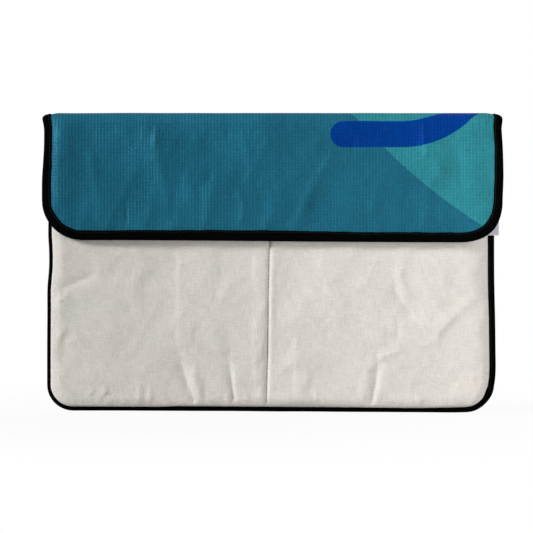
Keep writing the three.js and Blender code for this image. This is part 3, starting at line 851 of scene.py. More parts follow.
def printed_sheet():
    """Print under a coating over a woven scrim whose ribs are stronger across."""
    m = Cloth("printed_coated_sheet")
    u, v = m.u, m.v
    pitch = 2.82
    wobble = m.noise(size=9, detail=1).swing(0.5)
    colour = print_colour(m)
    # rib wear, which also sets the strength of the painted glints
    wear_and_glint = m.noise(size=24, detail=3, rough=0.6, stretch=(1, 0.45, 1))
    wear_and_glint = wear_and_glint.ramp(0.30, 0.70, low=0.55, high=1.1)
    wave_u = (u + wobble).cosine(pitch) * 0.5 + 0.5
    wave_v = (v + wobble).cosine(pitch) * 0.5 + 0.5
    ribs = wave_u.pow(1.4) * (0.62 + wave_v * 0.38) * wear_and_glint * 1.15 + wave_v.pow(1.8) * 0.30
    fine = m.noise(size=0.9, detail=2, rough=0.6)
    # painted highlights: bright glints along the ribs, added to the colour below
    glint = m.noise(size=1.5, detail=2, rough=0.7, offset=4).ramp(0.50, 0.82)
    glint = glint * wave_u.pow(2.0) * (0.35 + wave_v * 0.65) * wear_and_glint
    cells = m.noise(size=3.1, detail=2, rough=0.7, offset=9)
    streak = m.noise(size=17, detail=3, rough=0.6, stretch=(1, 0.28, 1), offset=23)
    patches = m.noise(size=30, detail=3, rough=0.55, stretch=(1, 0.6, 1))
    # highlights take the print's colour, with a little white
    tint = m.mix(0.07, m.mix(1.0, colour, (4.0, 4.0, 4.0), "MULTIPLY"), (1.0, 1.0, 1.0))
    # painted light: lighter over the fold than on the flap's face below it; patches and streak are
    # partly random tone and partly painted crease shade; glint adds painted highlights
    tone = (v.ramp(22, 6, low=0.80, high=1.00) + ribs * 0.20 + patches.swing(0.50)
            + streak.swing(0.34) + fine.swing(0.60) + cells.swing(0.50) + glint * 0.80)
    specks = m.noise(size=1.7, detail=1, rough=0.5, offset=31).ramp(0.735, 0.80)
    specks = specks * m.noise(size=16, detail=2, offset=8).ramp(0.5, 0.7)
    colour = m.mix(specks * 0.35, m.shade(colour, tone), srgb(120, 190, 205))
    rough = (0.44 + m.noise(size=22, detail=3).swing(0.16) + fine.swing(0.12)
             + specks * 0.12)
    normal = m.bump(ribs + cells.swing(1.1), distance=0.24)
    normal = m.bump(fine, distance=0.12, below=normal)
    return m.done(colour, rough, normal, Specular_IOR_Level=0.26, Specular_Tint=tint)


def canvas():
    """Off-white woven canvas with slubs, a faint twill, uneven tone, and painted shade that darkens
    it to the left.
    """
    m = Cloth("off_white_canvas")
    u, v = m.u, m.v
    pitch, twill_pitch = 0.95, 2.2
    base, warm = (0.618, 0.588, 0.546), (0.630, 0.590, 0.545)
    cool, dull = (0.612, 0.594, 0.556), (0.565, 0.536, 0.495)
    wobble = m.noise(size=6, detail=2).swing(0.9)
    weave = (u + wobble).sine(pitch) * (v - wobble).sine(pitch)
    slub = (m.noise(size=1.1, detail=2, rough=0.6, stretch=(1, 0.12, 1))
            + m.noise(size=1.1, detail=2, rough=0.6, stretch=(0.12, 1, 1), offset=5))
    twill = (u * 0.72 + v * 0.72 + wobble).sine(twill_pitch)
    height = weave * 0.5 + (slub - 1.0) * 1.6 + twill * 0.22
    colour = m.mix(m.noise(size=34, detail=3, rough=0.6).ramp(0.42, 0.66), base, warm)
    colour = m.mix(m.noise(size=27, detail=3, rough=0.6, offset=13).ramp(0.45, 0.7), colour, cool)
    dull_share = m.noise(size=11, detail=4, rough=0.65, offset=3).ramp(0.5, 0.78) * 0.4
    colour = m.mix(dull_share, colour, dull)
    fleck = m.noise(size=1.0, detail=2, rough=0.7, offset=7)
    # painted shade: darker to the left, with painted light on a patch low on the left and painted
    # shade on a patch low on the right
    tone = (u.ramp(-200, 60, low=0.905, high=0.988)
            + u.ramp(-60, -140, low=0, high=0.045) * v.ramp(60, 20)
            - u.ramp(100, 160, low=0, high=0.02) * v.ramp(60, 20)
            + (slub - 1.0) * 0.30 + weave * 0.035 + twill * 0.02 + fleck.swing(0.20))
    normal = m.bump(height, distance=0.17)
    normal = m.bump(m.noise(size=0.35, detail=2, rough=0.6), distance=0.05, below=normal)
    return m.done(m.shade(colour, tone), 0.88 + fleck.swing(0.1), normal,
                  Specular_IOR_Level=0.25, Sheen_Weight=0.12, Sheen_Roughness=0.5)


def binding_tape():
    """Black twill tape with ribs, fuzz and a little lint."""
    m = Cloth("black_binding_tape")
    black, lint_colour = (0.0008, 0.0008, 0.0009), (0.12, 0.12, 0.13)
    twill = (m.u * 0.8 + m.v).sine(pitch=0.85)
    rib = m.u.sine(pitch=0.62)
    fuzz = m.noise(size=0.8, detail=3, rough=0.7)
    height = twill * 0.45 + rib * 0.3 + fuzz.swing(1.2)
    tone = 0.95 + twill * 0.12 + fuzz.swing(0.9) + m.noise(size=14, detail=2).swing(0.5)
    lint = m.noise(size=1.3, detail=2, rough=0.5, offset=19).ramp(0.74, 0.82)
    colour = m.mix(lint * 0.06, m.shade(black, tone), lint_colour)
    return m.done(colour, 0.74 + fuzz.swing(0.2), m.bump(height, distance=0.07),
                  Specular_IOR_Level=0.015, Sheen_Weight=0.001, Sheen_Roughness=0.4)


def thread(name, colour, specular):
    """Twisted thread."""
    m = Cloth(name)
    twist = (m.u + m.v * 0.9 + m.w * 1.1).sine(pitch=0.55)
    fuzz = m.noise(size=0.3, detail=2, rough=0.6)
    colour = m.shade(colour, 0.92 + twist * 0.12 + fuzz.swing(0.3))
    return m.done(colour, 0.6 + fuzz.swing(0.2), m.bump(twist * 0.6 + fuzz, distance=0.05),
                  Specular_IOR_Level=specular)


def lining():
    """Dark plain weave with a square grid of thicker threads."""
    m = Cloth("dark_nylon_lining")
    u, v = m.u, m.v
    pitch, grid_pitch = 0.7, 5.2
    dark, less_dark = (0.0105, 0.011, 0.0125), (0.016, 0.0165, 0.0185)
    wobble = m.noise(size=7, detail=2).swing(0.4)
    weave = (u + wobble).sine(pitch) * (v - wobble).sine(pitch)
    lines_u, lines_v = u.cosine(grid_pitch).pow(1), v.cosine(grid_pitch)
    lines = lines_u.ramp(0.93, 1.0).max(lines_v.ramp(0.93, 1.0))
    colour = m.mix(m.noise(size=30, detail=3).ramp(0.4, 0.7), dark, less_dark)
    colour = m.shade(colour, 0.95 + weave * 0.12 + lines * 0.35)
    rough = 0.46 + m.noise(size=4, detail=2).swing(0.15)
    height = weave * 0.4 + lines * 0.9 + m.noise(size=12, detail=3) * 2.0
    return m.done(colour, rough, m.bump(height, distance=0.12),
                  Specular_IOR_Level=0.28, Sheen_Weight=0.02)


def foam():
    """Grey foam with open cells."""
    m = Cloth("grey_foam")
    voronoi = m.node("ShaderNodeTexVoronoi")
    m.tree.links.new(m.mapped(scale=(1.6, 1.6, 1.6)), voronoi.inputs["Vector"])
    cell = Value(m.tree, voronoi.outputs["Distance"])
    tone = 0.75 + cell * 0.7 + m.noise(size=20, detail=2).swing(0.3)
    return m.done(m.shade((0.075, 0.078, 0.083), tone), 0.95, m.bump(cell, distance=0.2),
                  Specular_IOR_Level=0.1)


def hook_tape():
    m = Cloth("black_hook_tape")
    weave = m.u.sine(pitch=0.8) * m.v.sine(pitch=0.8)
    fuzz = m.noise(size=1.5, detail=3)
    colour = m.shade((0.010, 0.010, 0.0115), 0.9 + weave * 0.2 + fuzz.swing(0.6))
    return m.done(colour, 0.42 + fuzz.swing(0.2), m.bump(weave * 0.5 + fuzz, distance=0.05),
                  Specular_IOR_Level=0.5)


def loop_tape():
    m = Cloth("black_loop_tape")
    fuzz = m.noise(size=0.7, detail=4, rough=0.7)
    tufts = m.noise(size=6, detail=3, rough=0.6)
    colour = m.shade((0.013, 0.013, 0.0145), 0.7 + fuzz * 0.6 + tufts.swing(0.7))
    return m.done(colour, 0.95, m.bump(fuzz * 1.4 + tufts, distance=0.25),
                  Specular_IOR_Level=0.15, Sheen_Weight=0.35, Sheen_Roughness=0.4)


def label_ribbon():
    m = Cloth("pale_satin_ribbon")
    rib = m.v.sine(pitch=0.42)
    float_threads = m.noise(size=1.2, detail=2, rough=0.6, stretch=(0.15, 1, 1))
    tone = (0.93 + rib * 0.05 + float_threads.swing(0.22)
            + m.noise(size=7, detail=2).swing(0.10))
    return m.done(m.shade((0.62, 0.61, 0.68), tone), 0.44 + float_threads.swing(0.2),
                  m.bump(rib * 0.5 + float_threads, distance=0.05),
                  Specular_IOR_Level=0.5, Sheen_Weight=0.15)


MATERIALS = {       # by slot
    "printed_sheet": printed_sheet(),
    "canvas": canvas(),
    "binding_tape": binding_tape(),
    "lining": lining(),
    "foam": foam(),
    "black_thread": thread("black_thread", (0.0060, 0.0115, 0.0122), specular=0.10),
    "white_thread": thread("natural_thread", (0.60, 0.57, 0.52), specular=0.3),
    "hook_tape": hook_tape(),
    "loop_tape": loop_tape(),
    "label_ribbon": label_ribbon(),
}


# ---------------------------------------------------------------- cloth simulation
def blur(field, passes, own_weight):
    out = field.copy()
    for _ in range(passes):
        out[1:-1, 1:-1] = (out[1:-1, 1:-1] * own_weight + out[:-2, 1:-1] + out[2:, 1:-1]
                           + out[1:-1, :-2] + out[1:-1, 2:]) / (own_weight + 4)
    return out


def simulate(key, half_width, bottom, top, columns, rows, pressure, growth, limit, seed,
             pin_top=True):
    """Blows and slackens a pinned sheet with Cloth, and keeps its wrinkles within +-limit."""
    frames, stiffness = 24, 12.0
    X, Z = grid(np.linspace(-half_width, half_width, columns), np.linspace(bottom, top, rows))
    start_y = 0.25 * fractal(X / 30, Z / 30, seed)
    verts = xyz(X, start_y, Z).reshape(-1, 3)
    mesh = bpy.data.meshes.new("sim_" + key)
    mesh.from_pydata((verts * MM).tolist(), [], grid_faces(columns, rows))
    mesh.update()
    ob = bpy.data.objects.new("sim_" + key, mesh)
    bpy.context.scene.collection.objects.link(ob)
    pinned = np.zeros((columns, rows), bool)
    pinned[:, -1] = pin_top
    pinned[:, 0] = True
    pinned[[0, -1]] = True
    group = ob.vertex_groups.new(name="pin")
    group.add(np.flatnonzero(pinned).tolist(), 1.0, "REPLACE")

    cloth = ob.modifiers.new("Cloth", "CLOTH")
    settings = cloth.settings
    settings.quality = 6
    settings.mass = 0.25
    settings.air_damping = 3.0
    settings.tension_stiffness = settings.compression_stiffness = stiffness
    settings.shear_stiffness = stiffness * 0.5
    settings.bending_stiffness = 0.6
    settings.vertex_group_mass = "pin"
    settings.use_pressure = True
    settings.uniform_pressure_force = pressure
    settings.shrink_min = -growth
    settings.effector_weights.gravity = 0.0
    cloth.collision_settings.use_self_collision = False
    cloth.point_cache.frame_start = 1
    cloth.point_cache.frame_end = frames
    scene = bpy.context.scene
    for frame in range(1, frames + 1):
        scene.frame_set(frame)
    evaluated = ob.evaluated_get(bpy.context.evaluated_depsgraph_get())
    places = np.zeros(len(verts) * 3)
    evaluated.to_mesh().vertices.foreach_get("co", places)
    moved = places.reshape(columns, rows, 3)[..., 1] / MM - start_y
    bpy.data.objects.remove(ob)
    bpy.data.meshes.remove(mesh)
    scene.frame_set(1)
    # take off the overall swelling
    swelling = blur(blur(moved, passes=14, own_weight=2), passes=60, own_weight=0)
    wrinkles = np.clip(moved - swelling, -limit, limit)
    SIMULATED[key] = (-half_width, half_width, bottom, top, wrinkles)


# ---------------------------------------------------------------- back, fold and flap
def u_grid(half_width, base, radius, across, heights):
    """Grid over a U outline with round bottom corners; half_width is a function."""
    across, Z = grid(across, heights)
    widths = half_width(side_of(across), Z)
    return round_bottom(across * widths, Z, widths, base, radius)


def back_grid(across, heights, fold_rows, base, radius, pouch_trim, flap_trim):
    """X and run over the back and on to the top of the fold."""
    def half_width(side, Z):
        return mix(pouch_half_width(side, Z) - pouch_trim,
                   flap_half_width(side, -sheet_run(Z)) - flap_trim, smooth((Z - 170) / 40))

    back_x, back_z = u_grid(half_width, base, radius, across, heights)
    fold_across, fold_run = grid(across, -QUARTER * (1 - np.linspace(0, 1, fold_rows)[1:]))
    fold_x = fold_across * (flap_half_width(side_of(fold_across), fold_run) - flap_trim)
    return (np.concatenate([back_x, fold_x], 1),
            np.concatenate([-sheet_run(back_z), fold_run], 1))


def add_cover(name, X, run, joint, replaced):
    """The printed sheet itself, 0.75 thick."""
    top, normal = on_sheet(X, run, HALF_SHEET * 0.7)
    add_shell(name, top, top - normal * 0.75, X, run, "printed_sheet", joint, replaced)


def add_sheet_lining(name, X, run, depth, joint, replaced):
    middle, normal = on_sheet(X, run, -depth)
    half = normal * HALF_LINING
    add_shell(name, middle + half, middle - half, X, run, "lining", joint, replaced)


def make_back_cover():
    heights = np.concatenate([np.linspace(COVER_INSET, 30, 26), np.linspace(31.5, 226, 120),
                              np.linspace(227.5, FOLD_Z, 22)])
    X, run = back_grid(across_stations(241), heights, fold_rows=15, base=COVER_INSET,
                       radius=POUCH_R - COVER_INSET, pouch_trim=COVER_INSET,
                       flap_trim=COVER_INSET)
    add_cover("back_printed_cover", X, run, BACK_TO_FOLD, ["back_outer_panel"])


def flap_grid(columns, rows, inset):
    """X and run from the top of the fold (row 0) to the flap's lower edge (row 1)."""
    across, row = grid(across_stations(columns), rows)
    side = side_of(across)
    rough_width = flap_half_width(side, 70) - inset
    last_run = sheet_run(flap_bottom(across * rough_width) + inset)
    run = row * last_run
    half_width = flap_half_width(side, run) - inset
    # run points down, so the corners are rounded with its sign turned
    X, up = round_bottom(across * half_width, -run, half_width, -last_run, FLAP_R - inset)
    return X, -up


def flap_rows(fold_rows, face_rows):
    fold_share = QUARTER / sheet_run(FLAP_BOTTOM + 1.2)
    return np.concatenate([np.linspace(0, fold_share, fold_rows)[:-1],
                           np.linspace(fold_share, 1, face_rows)])


def make_flap_cover():
    X, run = flap_grid(261, flap_rows(15, 78), COVER_INSET)
    add_cover("flap_printed_cover", X, run, FOLD_TO_FLAP, ["flap_printed_panel", "fold_cover"])


def make_flap_inside():
    X, run = flap_grid(121, flap_rows(9, 40), 3.0)
    depth = np.maximum(flap_lining_depth(X, run) + flap_lining_relief(X, run), 1.0)
    add_sheet_lining("flap_inner_lining", X, run, depth, FOLD_TO_FLAP,
                     ["flap_lining", "fold_lining"])
    # thin padding between the sheet and the lining
    X, run = flap_grid(121, np.linspace(0.17, 1, 44), 5.0)
    outer = 0.54
    inner = np.clip(flap_lining_depth(X, run) - 0.5, 0.62, 1.25)
    top, normal = on_sheet(X, run, -outer)
    add_shell("flap_padding", top, top - normal * (inner - outer)[..., None], X, run,
              "foam", FOLD_TO_FLAP, ["flap_interlining"])


def make_back_lining():
    base = 5.0
    heights = np.concatenate([np.linspace(base, 30, 16), np.linspace(33, FOLD_Z, 76)])
    X, run = back_grid(np.linspace(-1, 1, 121), heights, fold_rows=9, base=base,
                       radius=POUCH_R - 4.5, pouch_trim=4.2, flap_trim=3.0)
    Z = FOLD_Z + (run + QUARTER)
    rise = np.where(run < -QUARTER, edge_rise(pouch_inset(X, Z)), 1.0)
    rise = mix(rise, 1.0, smooth((Z - 222) / 26))
    relief = 0.35 * fractal(X / 30, run / 34, 93) * rise * smooth((-run - 20) / 20)
    add_sheet_lining("back_inner_lining", X, run, mix(1.1, lining_depth(run), rise) + relief,
                     BACK_TO_FOLD, ["back_lining"])


def make_back_foam():
    base = 14.0
    X, Z = u_grid(lambda side, Z: pouch_half_width(side, Z) - 13.0, base, POUCH_R - 10,
                  np.linspace(-1, 1, 91), np.linspace(base, FOLD_Z - 8, 60))
    run = -sheet_run(Z)
    inner = mix(1.1, lining_depth(run), edge_rise(pouch_inset(X, Z))) - 0.55
    middle, normal = on_sheet(X, run, 0.0)
    add_shell("back_foam_padding", middle - normal * 0.62,
              middle - normal * np.maximum(inner, 0.9)[..., None], X, run,
              "foam", "pouch", ["back_foam_pad"])


# ---------------------------------------------------------------- binding tapes
def profile_columns(points):
    """Profile points (numbers or one value per path point) -> two (path, profile) arrays."""
    flat = np.broadcast_arrays(*[value for point in points for value in point])
    return np.stack(flat[0::2], -1), np.stack(flat[1::2], -1)


def tape_profile(width, inner, outer, thick, bulge, arc_steps=7):
    """Tape folded round an edge: distance in from the outer edge, and height along the normal.
    It lies on faces at height outer and -inner."""
    roll = 2.2
    stations = np.linspace(width, roll, 6)
    middle, radius = (outer - inner) / 2, (outer + inner) / 2 + thick

    def arch(x):
        return bulge * np.sin(math.pi * (width - x) / width)

    def lip(x):
        return 0.42 * bell(x, width, 0.7)

    points = [(x, outer + thick + arch(x) - lip(x)) for x in stations]
    for k in range(1, arc_steps):
        angle = math.pi / 2 - math.pi * k / arc_steps
        points.append((roll - roll * math.cos(angle), middle + radius * math.sin(angle)))
    points += [(x, -inner - thick - 0.6 * arch(x) + lip(x)) for x in stations[::-1]]
    # inside of the fold
    points += [
        (width - 0.12, -inner - 0.12), (width * 0.6, -inner - 0.02), (3.0, -inner - 0.02),
        (1.5, middle),
        (3.0, outer + 0.02), (width * 0.6, outer + 0.02), (width - 0.12, outer + 0.12),
    ]
    return profile_columns(points)


def tape_v(inset):
    """Cloth coordinate across a tape; the inner half of the profile is set 20 mm apart."""
    size = inset.shape[1]
    return inset + np.where(np.arange(size) > size // 2, 20, 0)


def quarter_arc(centre, radius, start, turn, steps):
    angles = [start + turn * k / steps for k in range(1, steps + 1)]
    return [(centre[0] + radius * math.cos(t), centre[1] + radius * math.sin(t)) for t in angles]


def left_normals(path, passes):
    """Directions to the left of travel, smoothed a few times."""
    ahead = unit(np.gradient(path, axis=0))
    for _ in range(passes):
        ahead[1:-1] = (ahead[:-2] + ahead[1:-1] * 2 + ahead[2:]) / 4
        ahead = unit(ahead)
    return np.stack([-ahead[:, 1], ahead[:, 0]], -1)


OUTLINE_STEP = 1.6


def flap_outline():
    """The flap's outer edge in (X, run), from the left end of the fold round the bottom to the
    right end. Returns points, inward directions and distances."""
    run_left, run_right = (sheet_run(float(flap_bottom(x))) for x in (-150, 150))
    left_end, right_end = run_left - FLAP_R, run_right - FLAP_R
    left_x = -float(flap_half_width(-1, left_end)) + FLAP_R
    right_x = float(flap_half_width(1, right_end)) - FLAP_R
    points = [(-float(flap_half_width(-1, run)), run) for run in np.linspace(0.0, left_end, 60)]
    points += quarter_arc((left_x, left_end), FLAP_R, math.pi, -math.pi / 2, 12)
    for x in np.linspace(left_x, right_x, 60)[1:]:
        share = (x - left_x) / (right_x - left_x)
        points.append((x, mix(run_left, run_right, smooth(share))))
    points += quarter_arc((right_x, right_end), FLAP_R, math.pi / 2, -math.pi / 2, 12)
    points += [(float(flap_half_width(1, run)), run)
               for run in np.linspace(right_end, 0.0, 60)[1:]]
    path, along = resample(np.array(points, float), OUTLINE_STEP)
    return path, -left_normals(path, passes=3), along


def pouch_outline():
    """The pouch's sewn edge in (x, z), from the left end of the mouth round the bottom to the
    right end. Returns points, inward directions and distances."""
    top = MOUTH_Z + 3.0
    left, right = (float(pouch_half_width(side, POUCH_R)) for _, side in SIDES)
    left_x, right_x = -left + POUCH_R, right - POUCH_R
    points = [(-float(pouch_half_width(-1, z)), z) for z in np.linspace(top, POUCH_R, 90)]
    points += quarter_arc((left_x, POUCH_R), POUCH_R, math.pi, math.pi / 2, 10)
    for x in np.linspace(left_x, right_x, 80)[1:]:
        arch = math.sin(math.pi * (x + left) / (left + right))
        points.append((x, 0.22 * (1 + float(noise(x / 34, 3.5, 64))) * arch))
    points += quarter_arc((right_x, POUCH_R), POUCH_R, 1.5 * math.pi, math.pi / 2, 10)
    points += [(float(pouch_half_width(1, z)), z) for z in np.linspace(POUCH_R, top, 90)[1:]]
    path, along = resample(np.array(points, float), OUTLINE_STEP)
    return path, left_normals(path, passes=2), along


def add_sheet_tape(name, path, inward, along, profile, joint, replaced):
    """Sweeps a tape profile along an edge of the sheet."""
    inset, height = profile
    edge_x, edge_run = path[:, :1], path[:, 1:]
    in_x, in_run = inward[:, :1], inward[:, 1:]
    held = np.maximum(inset, 0.4)
    rings, _ = on_sheet(edge_x + in_x * held, edge_run + in_run * held, height)
    # the outer roll goes past the sheet's own edge, along the sheet
    direction = unit(sheet_middle(edge_x + in_x * 1.4, edge_run + in_run * 1.4)
                     - sheet_middle(edge_x + in_x * 0.4, edge_run + in_run * 0.4))
    rings = rings + direction * np.minimum(inset - 0.4, 0)[..., None]
    add_tube(name, rings, along[:, None], tape_v(inset), joint, replaced)


def make_flap_binding():
    path, inward, along = flap_outline()
    X, run = path.T
    low_part = smooth((run - 92) / 16)
    width = np.where(np.abs(X) > 150, mix(7.4, 8.2, smooth((run - 30) / 40)), 8.7)
    width = mix(width, 8.8, low_part) + 0.8 * bell(X, -20, 70) * low_part
    width = width + 0.28 * noise(along / 9.0, 0.5, 61) + 0.15 * noise(along / 3.7, 1.5, 62)
    inner = mix(1.15, FLAP_INNER_FACE, smooth((run - 12) / 14))
    outer = 0.45
    profile = tape_profile(width, inner, outer, thick=FLAP_TAPE, bulge=0.4)
    add_sheet_tape("flap_binding_tape", path, inward, along, profile, FOLD_TO_FLAP,
                   ["flap_edge_binding"])
    inset = width - STITCH_INSET
    # name, side of the sheet, height, seed, CAD piece
    rows = [
        ("flap_binding_stitches", 1, outer + FLAP_TAPE + 0.34, 6, ["flap_binding_thread"]),
        ("flap_binding_stitches_inside", -1, -(inner + FLAP_TAPE + 0.22), 4, ()),
    ]
    for name, face, height, seed, replaced in rows:
        line, normal = on_sheet(X + inward[:, 0] * inset, run + inward[:, 1] * inset, height)
        add_stitches(name, line[3:-3], normal[3:-3] * face, FOLD_TO_FLAP, replaced,
                     length=2.15, seed=seed)


def make_fold_bindings():
    """The tapes up the free side edges of the back, thin at their lower ends."""
    for name, side in SIDES:
        run = np.linspace(-sheet_run(214), 0.0, 52)
        if side < 0:
            run = run[::-1]
        path = np.stack([side * flap_half_width(side, run), run], -1)
        inward = np.stack([-side * np.ones(len(run)), np.zeros(len(run))], -1)
        along = np.concatenate([[0], np.cumsum(np.linalg.norm(np.diff(path, axis=0), axis=1))])
        full = smooth((run + QUARTER + (FOLD_Z - 222)) / 22)
        width = mix(3.4, 7.4, full) + 0.2 * noise(along / 6, 2.5, 63)
        profile = tape_profile(width, mix(0.62, 1.15, full), mix(0.40, 0.45, full),
                               thick=mix(0.16, FLAP_TAPE, smooth(full * 2)),
                               bulge=mix(0.05, 0.4, full))
        add_sheet_tape(f"fold_binding_tape_{name}", path, inward, along, profile, BACK_TO_FOLD,
                       [f"fold_binding_{name}"])
        line, normal = on_sheet(path[:, 0] + inward[:, 0] * (width - STITCH_INSET), run,
                                0.45 + FLAP_TAPE + 0.34)
        wide = full > 0.75
        add_stitches(f"fold_binding_stitches_{name}", line[wide], normal[wide], BACK_TO_FOLD,
                     length=2.15, seed=8)


def make_pouch_binding():
    path, inward, along = pouch_outline()
    stitch_inset = 1.4
    width = POUCH_LIP + 0.2 * noise(along / 8, 4.5, 65)
    inset, height = tape_profile(width, RIM_FACE, RIM_FACE, thick=POUCH_TAPE, bulge=0.22,
                                 arc_steps=9)
    # the stitches pull a groove into both faces
    groove = 0.22 * bell(inset, width[:, None] - stitch_inset, 0.7) * np.sign(height)
    height = height - groove * (np.abs(height) > RIM_FACE + 0.3)
    dent = 0.064 * noise(along / 5, 5.5, 66)[:, None]
    rings = xyz(path[:, :1] + inward[:, :1] * inset, SEAM_Y - height + dent,
                path[:, 1:] + inward[:, 1:] * inset)
    add_tube("pouch_binding_tape", rings, along[:, None], tape_v(inset), "pouch",
             ["pouch_edge_binding"])
    line = path + inward * (POUCH_LIP - stitch_inset)
    for name, face, replaced in (("front", -1, ["pouch_binding_thread"]), ("back", 1, ())):
        points = xyz(line[:, 0], SEAM_Y + face * (RIM_FACE + POUCH_TAPE), line[:, 1])[2:-2]
        add_stitches(f"pouch_binding_stitches_{name}", points, (0, face, 0), "pouch", replaced,
                     radius=0.27, seed=10 + face)


# ---------------------------------------------------------------- front wall
# How each half turns in at the centre seam: valley width and depth, ridge distance and height,
# and the shift of its cloth coordinate; then the seed of its puckers
SEAM_TURN = {"left": (4.6, 0.75, 5.0, 0.05, 0, 71), "right": (3.6, 0.45, 3.4, 0.32, 0.31, 72)}
# Shares across each half, from the outer edge to the seam
CANVAS_COLUMNS = np.concatenate([
    [0, 0.0016, 0.0036, 0.0062, 0.0094, 0.0132, 0.0176], np.linspace(0.0228, 0.955, 128),
    [0.964, 0.972, 0.979, 0.985, 0.990, 0.995, 1.0]])


def canvas_inset(inset, X, Z):
    """Moves the canvas in from the edge. It rolls out over the binding at the left and the
    bottom, and stays behind it on the right."""
    right = smooth((X - 60) / 120) * smooth((Z - 4) / 16)
    low_right = smooth((X - 120) / 60) * (1 - smooth((Z - 8) / 20))
    over = 1.9 * (1 - right) * (1 - 0.35 * low_right)       # how far it stands over the tape
    extra = mix(0.6, 1.5, smooth((X + 98) / 16)) - 0.6 * smooth((X - 40) / 90)
    extra = extra * (1 - smooth((Z - 6) / 16)) + 0.7 * right
    return (inset + 5.3 * np.exp(-inset / 9.0) - 1.25 * over * bell(inset, 2.2, 2.6)
            + extra * np.exp(-inset / 5.0))


def make_canvas():
    rows = np.concatenate([np.linspace(0, 1, 18) ** 1.3 * 26, np.linspace(27.4, MOUTH_Z, 148)])
    for side, sign in SIDES:
        valley_width, valley_depth, ridge_at, ridge_height, shift, seed = SEAM_TURN[side]
        share, Z = grid(CANVAS_COLUMNS, rows)
        half_width = pouch_half_width(sign, Z)
        seam = seam_x(Z)
        X = mix(sign * half_width, seam, share)
        corner, polar, angle, p, q = corner_polar(X, Z, half_width, 0, POUCH_R)
        side_gap = half_width - np.abs(X)
        near_side = side_gap <= Z
        edge = np.where(corner, POUCH_R * (1 - polar), np.minimum(side_gap, Z))
        inset = canvas_inset(edge, X, Z)
        # move each point from its distance edge to the distance inset
        radius = POUCH_R - inset
        new_x = np.where(corner, sign * ((half_width - POUCH_R) + radius * np.cos(angle)),
                         np.where(near_side, sign * (half_width - inset), X))
        new_z = np.where(corner, POUCH_R - radius * np.sin(angle), np.where(near_side, Z, inset))
        # the depth follows the grid's own distance, so that the roll can overhang
        steepness = mix(4.8, 3.4, smooth((Z - side_gap) / 16 + 0.5))
        rise = 1 - (1 - np.clip(edge / 17.0, 0, 1)) ** steepness
        if sign > 0:      # flatter towards the right edge
            flat = 1 - (1 - np.clip(edge / 30.0, 0, 1)) ** 2.2
            here = near_side * smooth((Z - 14) / 30) * (1 - smooth((Z - 205) / 20))
            rise = mix(rise, flat, here)
        along = np.where(near_side | (corner & (p >= q)), new_z, new_x)
        y = mix(CANVAS_RIM, FRONT_Y, rise) - front_bulge(new_x, new_z)
        y = y - puckers(along, edge + 3, seed, 0.42, 15) * smooth(edge / 4)
        # each half turns in at the centre seam
        from_seam = np.abs(new_x - seam)
        turn = (np.exp(-(from_seam / 1.15) ** 1.5) * 2.1
                + bell(from_seam, 0, valley_width) * valley_depth
                - bell(from_seam, ridge_at, 2.4) * ridge_height)
        middle = xyz(new_x, y + turn * smooth((new_z - 2) / 8), new_z)
        normal = grid_normals(middle)
        if (normal[..., 1] > 0).mean() > 0.5:
            normal = -normal
        add_shell(f"canvas_front_{side}", middle + normal * 0.3, middle - normal * 0.35,
                  new_x + shift, new_z, "canvas", FRONT_JOINT[side], [f"front_panel_{side}"])
    # stitches in the valley of the centre seam
    z = np.arange(5.0, MOUTH_Z - 2, 0.5)
    x = seam_x(z)
    path = xyz(x, FRONT_Y - front_bulge(x, z) + 1.55, z)
    add_stitches("centre_seam_stitches", path, (0, -1, 0), "front_wall",
                 ["centre_seam_thread"], slot="white_thread",
                 pitch=3.3, length=2.2, radius=0.42, seed=21)


def half_front_grid(sign, inset, base):
    """X and Z over half of the front, from the outer edge to x = 0."""
    heights = np.concatenate([np.linspace(5.0, 30, 14), np.linspace(33, MOUTH_Z, 70)])
    share, Z = grid(np.linspace(0, 1, 71), heights)
    half_width = pouch_half_width(sign, Z) - inset
    return round_bottom(sign * mix(half_width, 0.0, share), Z, half_width, base, POUCH_R - inset)


def make_front_lining(side, sign):
    X, Z = half_front_grid(sign, inset=4.5, base=5.0)
    y = front_lining_y(X, Z) + 0.3 * fractal(X / 28, Z / 30, 95)
    add_shell(f"front_inner_lining_{side}", xyz(X, y - HALF_LINING, Z),
              xyz(X, y + HALF_LINING, Z), X, Z, "lining", FRONT_JOINT[side],
              if_left(side, "front_lining"))


def make_front_foam(side, sign):
    X, Z = half_front_grid(sign, inset=14.0, base=15.0)
    Z = np.minimum(Z, MOUTH_Z - 1.5)
    outer = front_y(X, Z) + 0.75
    inner = np.maximum(front_lining_y(X, Z) - 0.75, outer + 0.4)
    # thinner towards the right edge and behind the centre seam
    outer = outer + 1.5 * smooth((X - 135) / 30) * (1 - smooth((Z - 205) / 20))
    outer = np.where(np.abs(X - seam_x(Z)) < 3.5, outer + 1.2, outer)
    inner = np.maximum(inner, outer + 0.3)
    add_shell(f"front_foam_padding_{side}", xyz(X, outer, Z), xyz(X, inner, Z), X, Z, "foam",
              FRONT_JOINT[side], if_left(side, "front_foam_pad"))


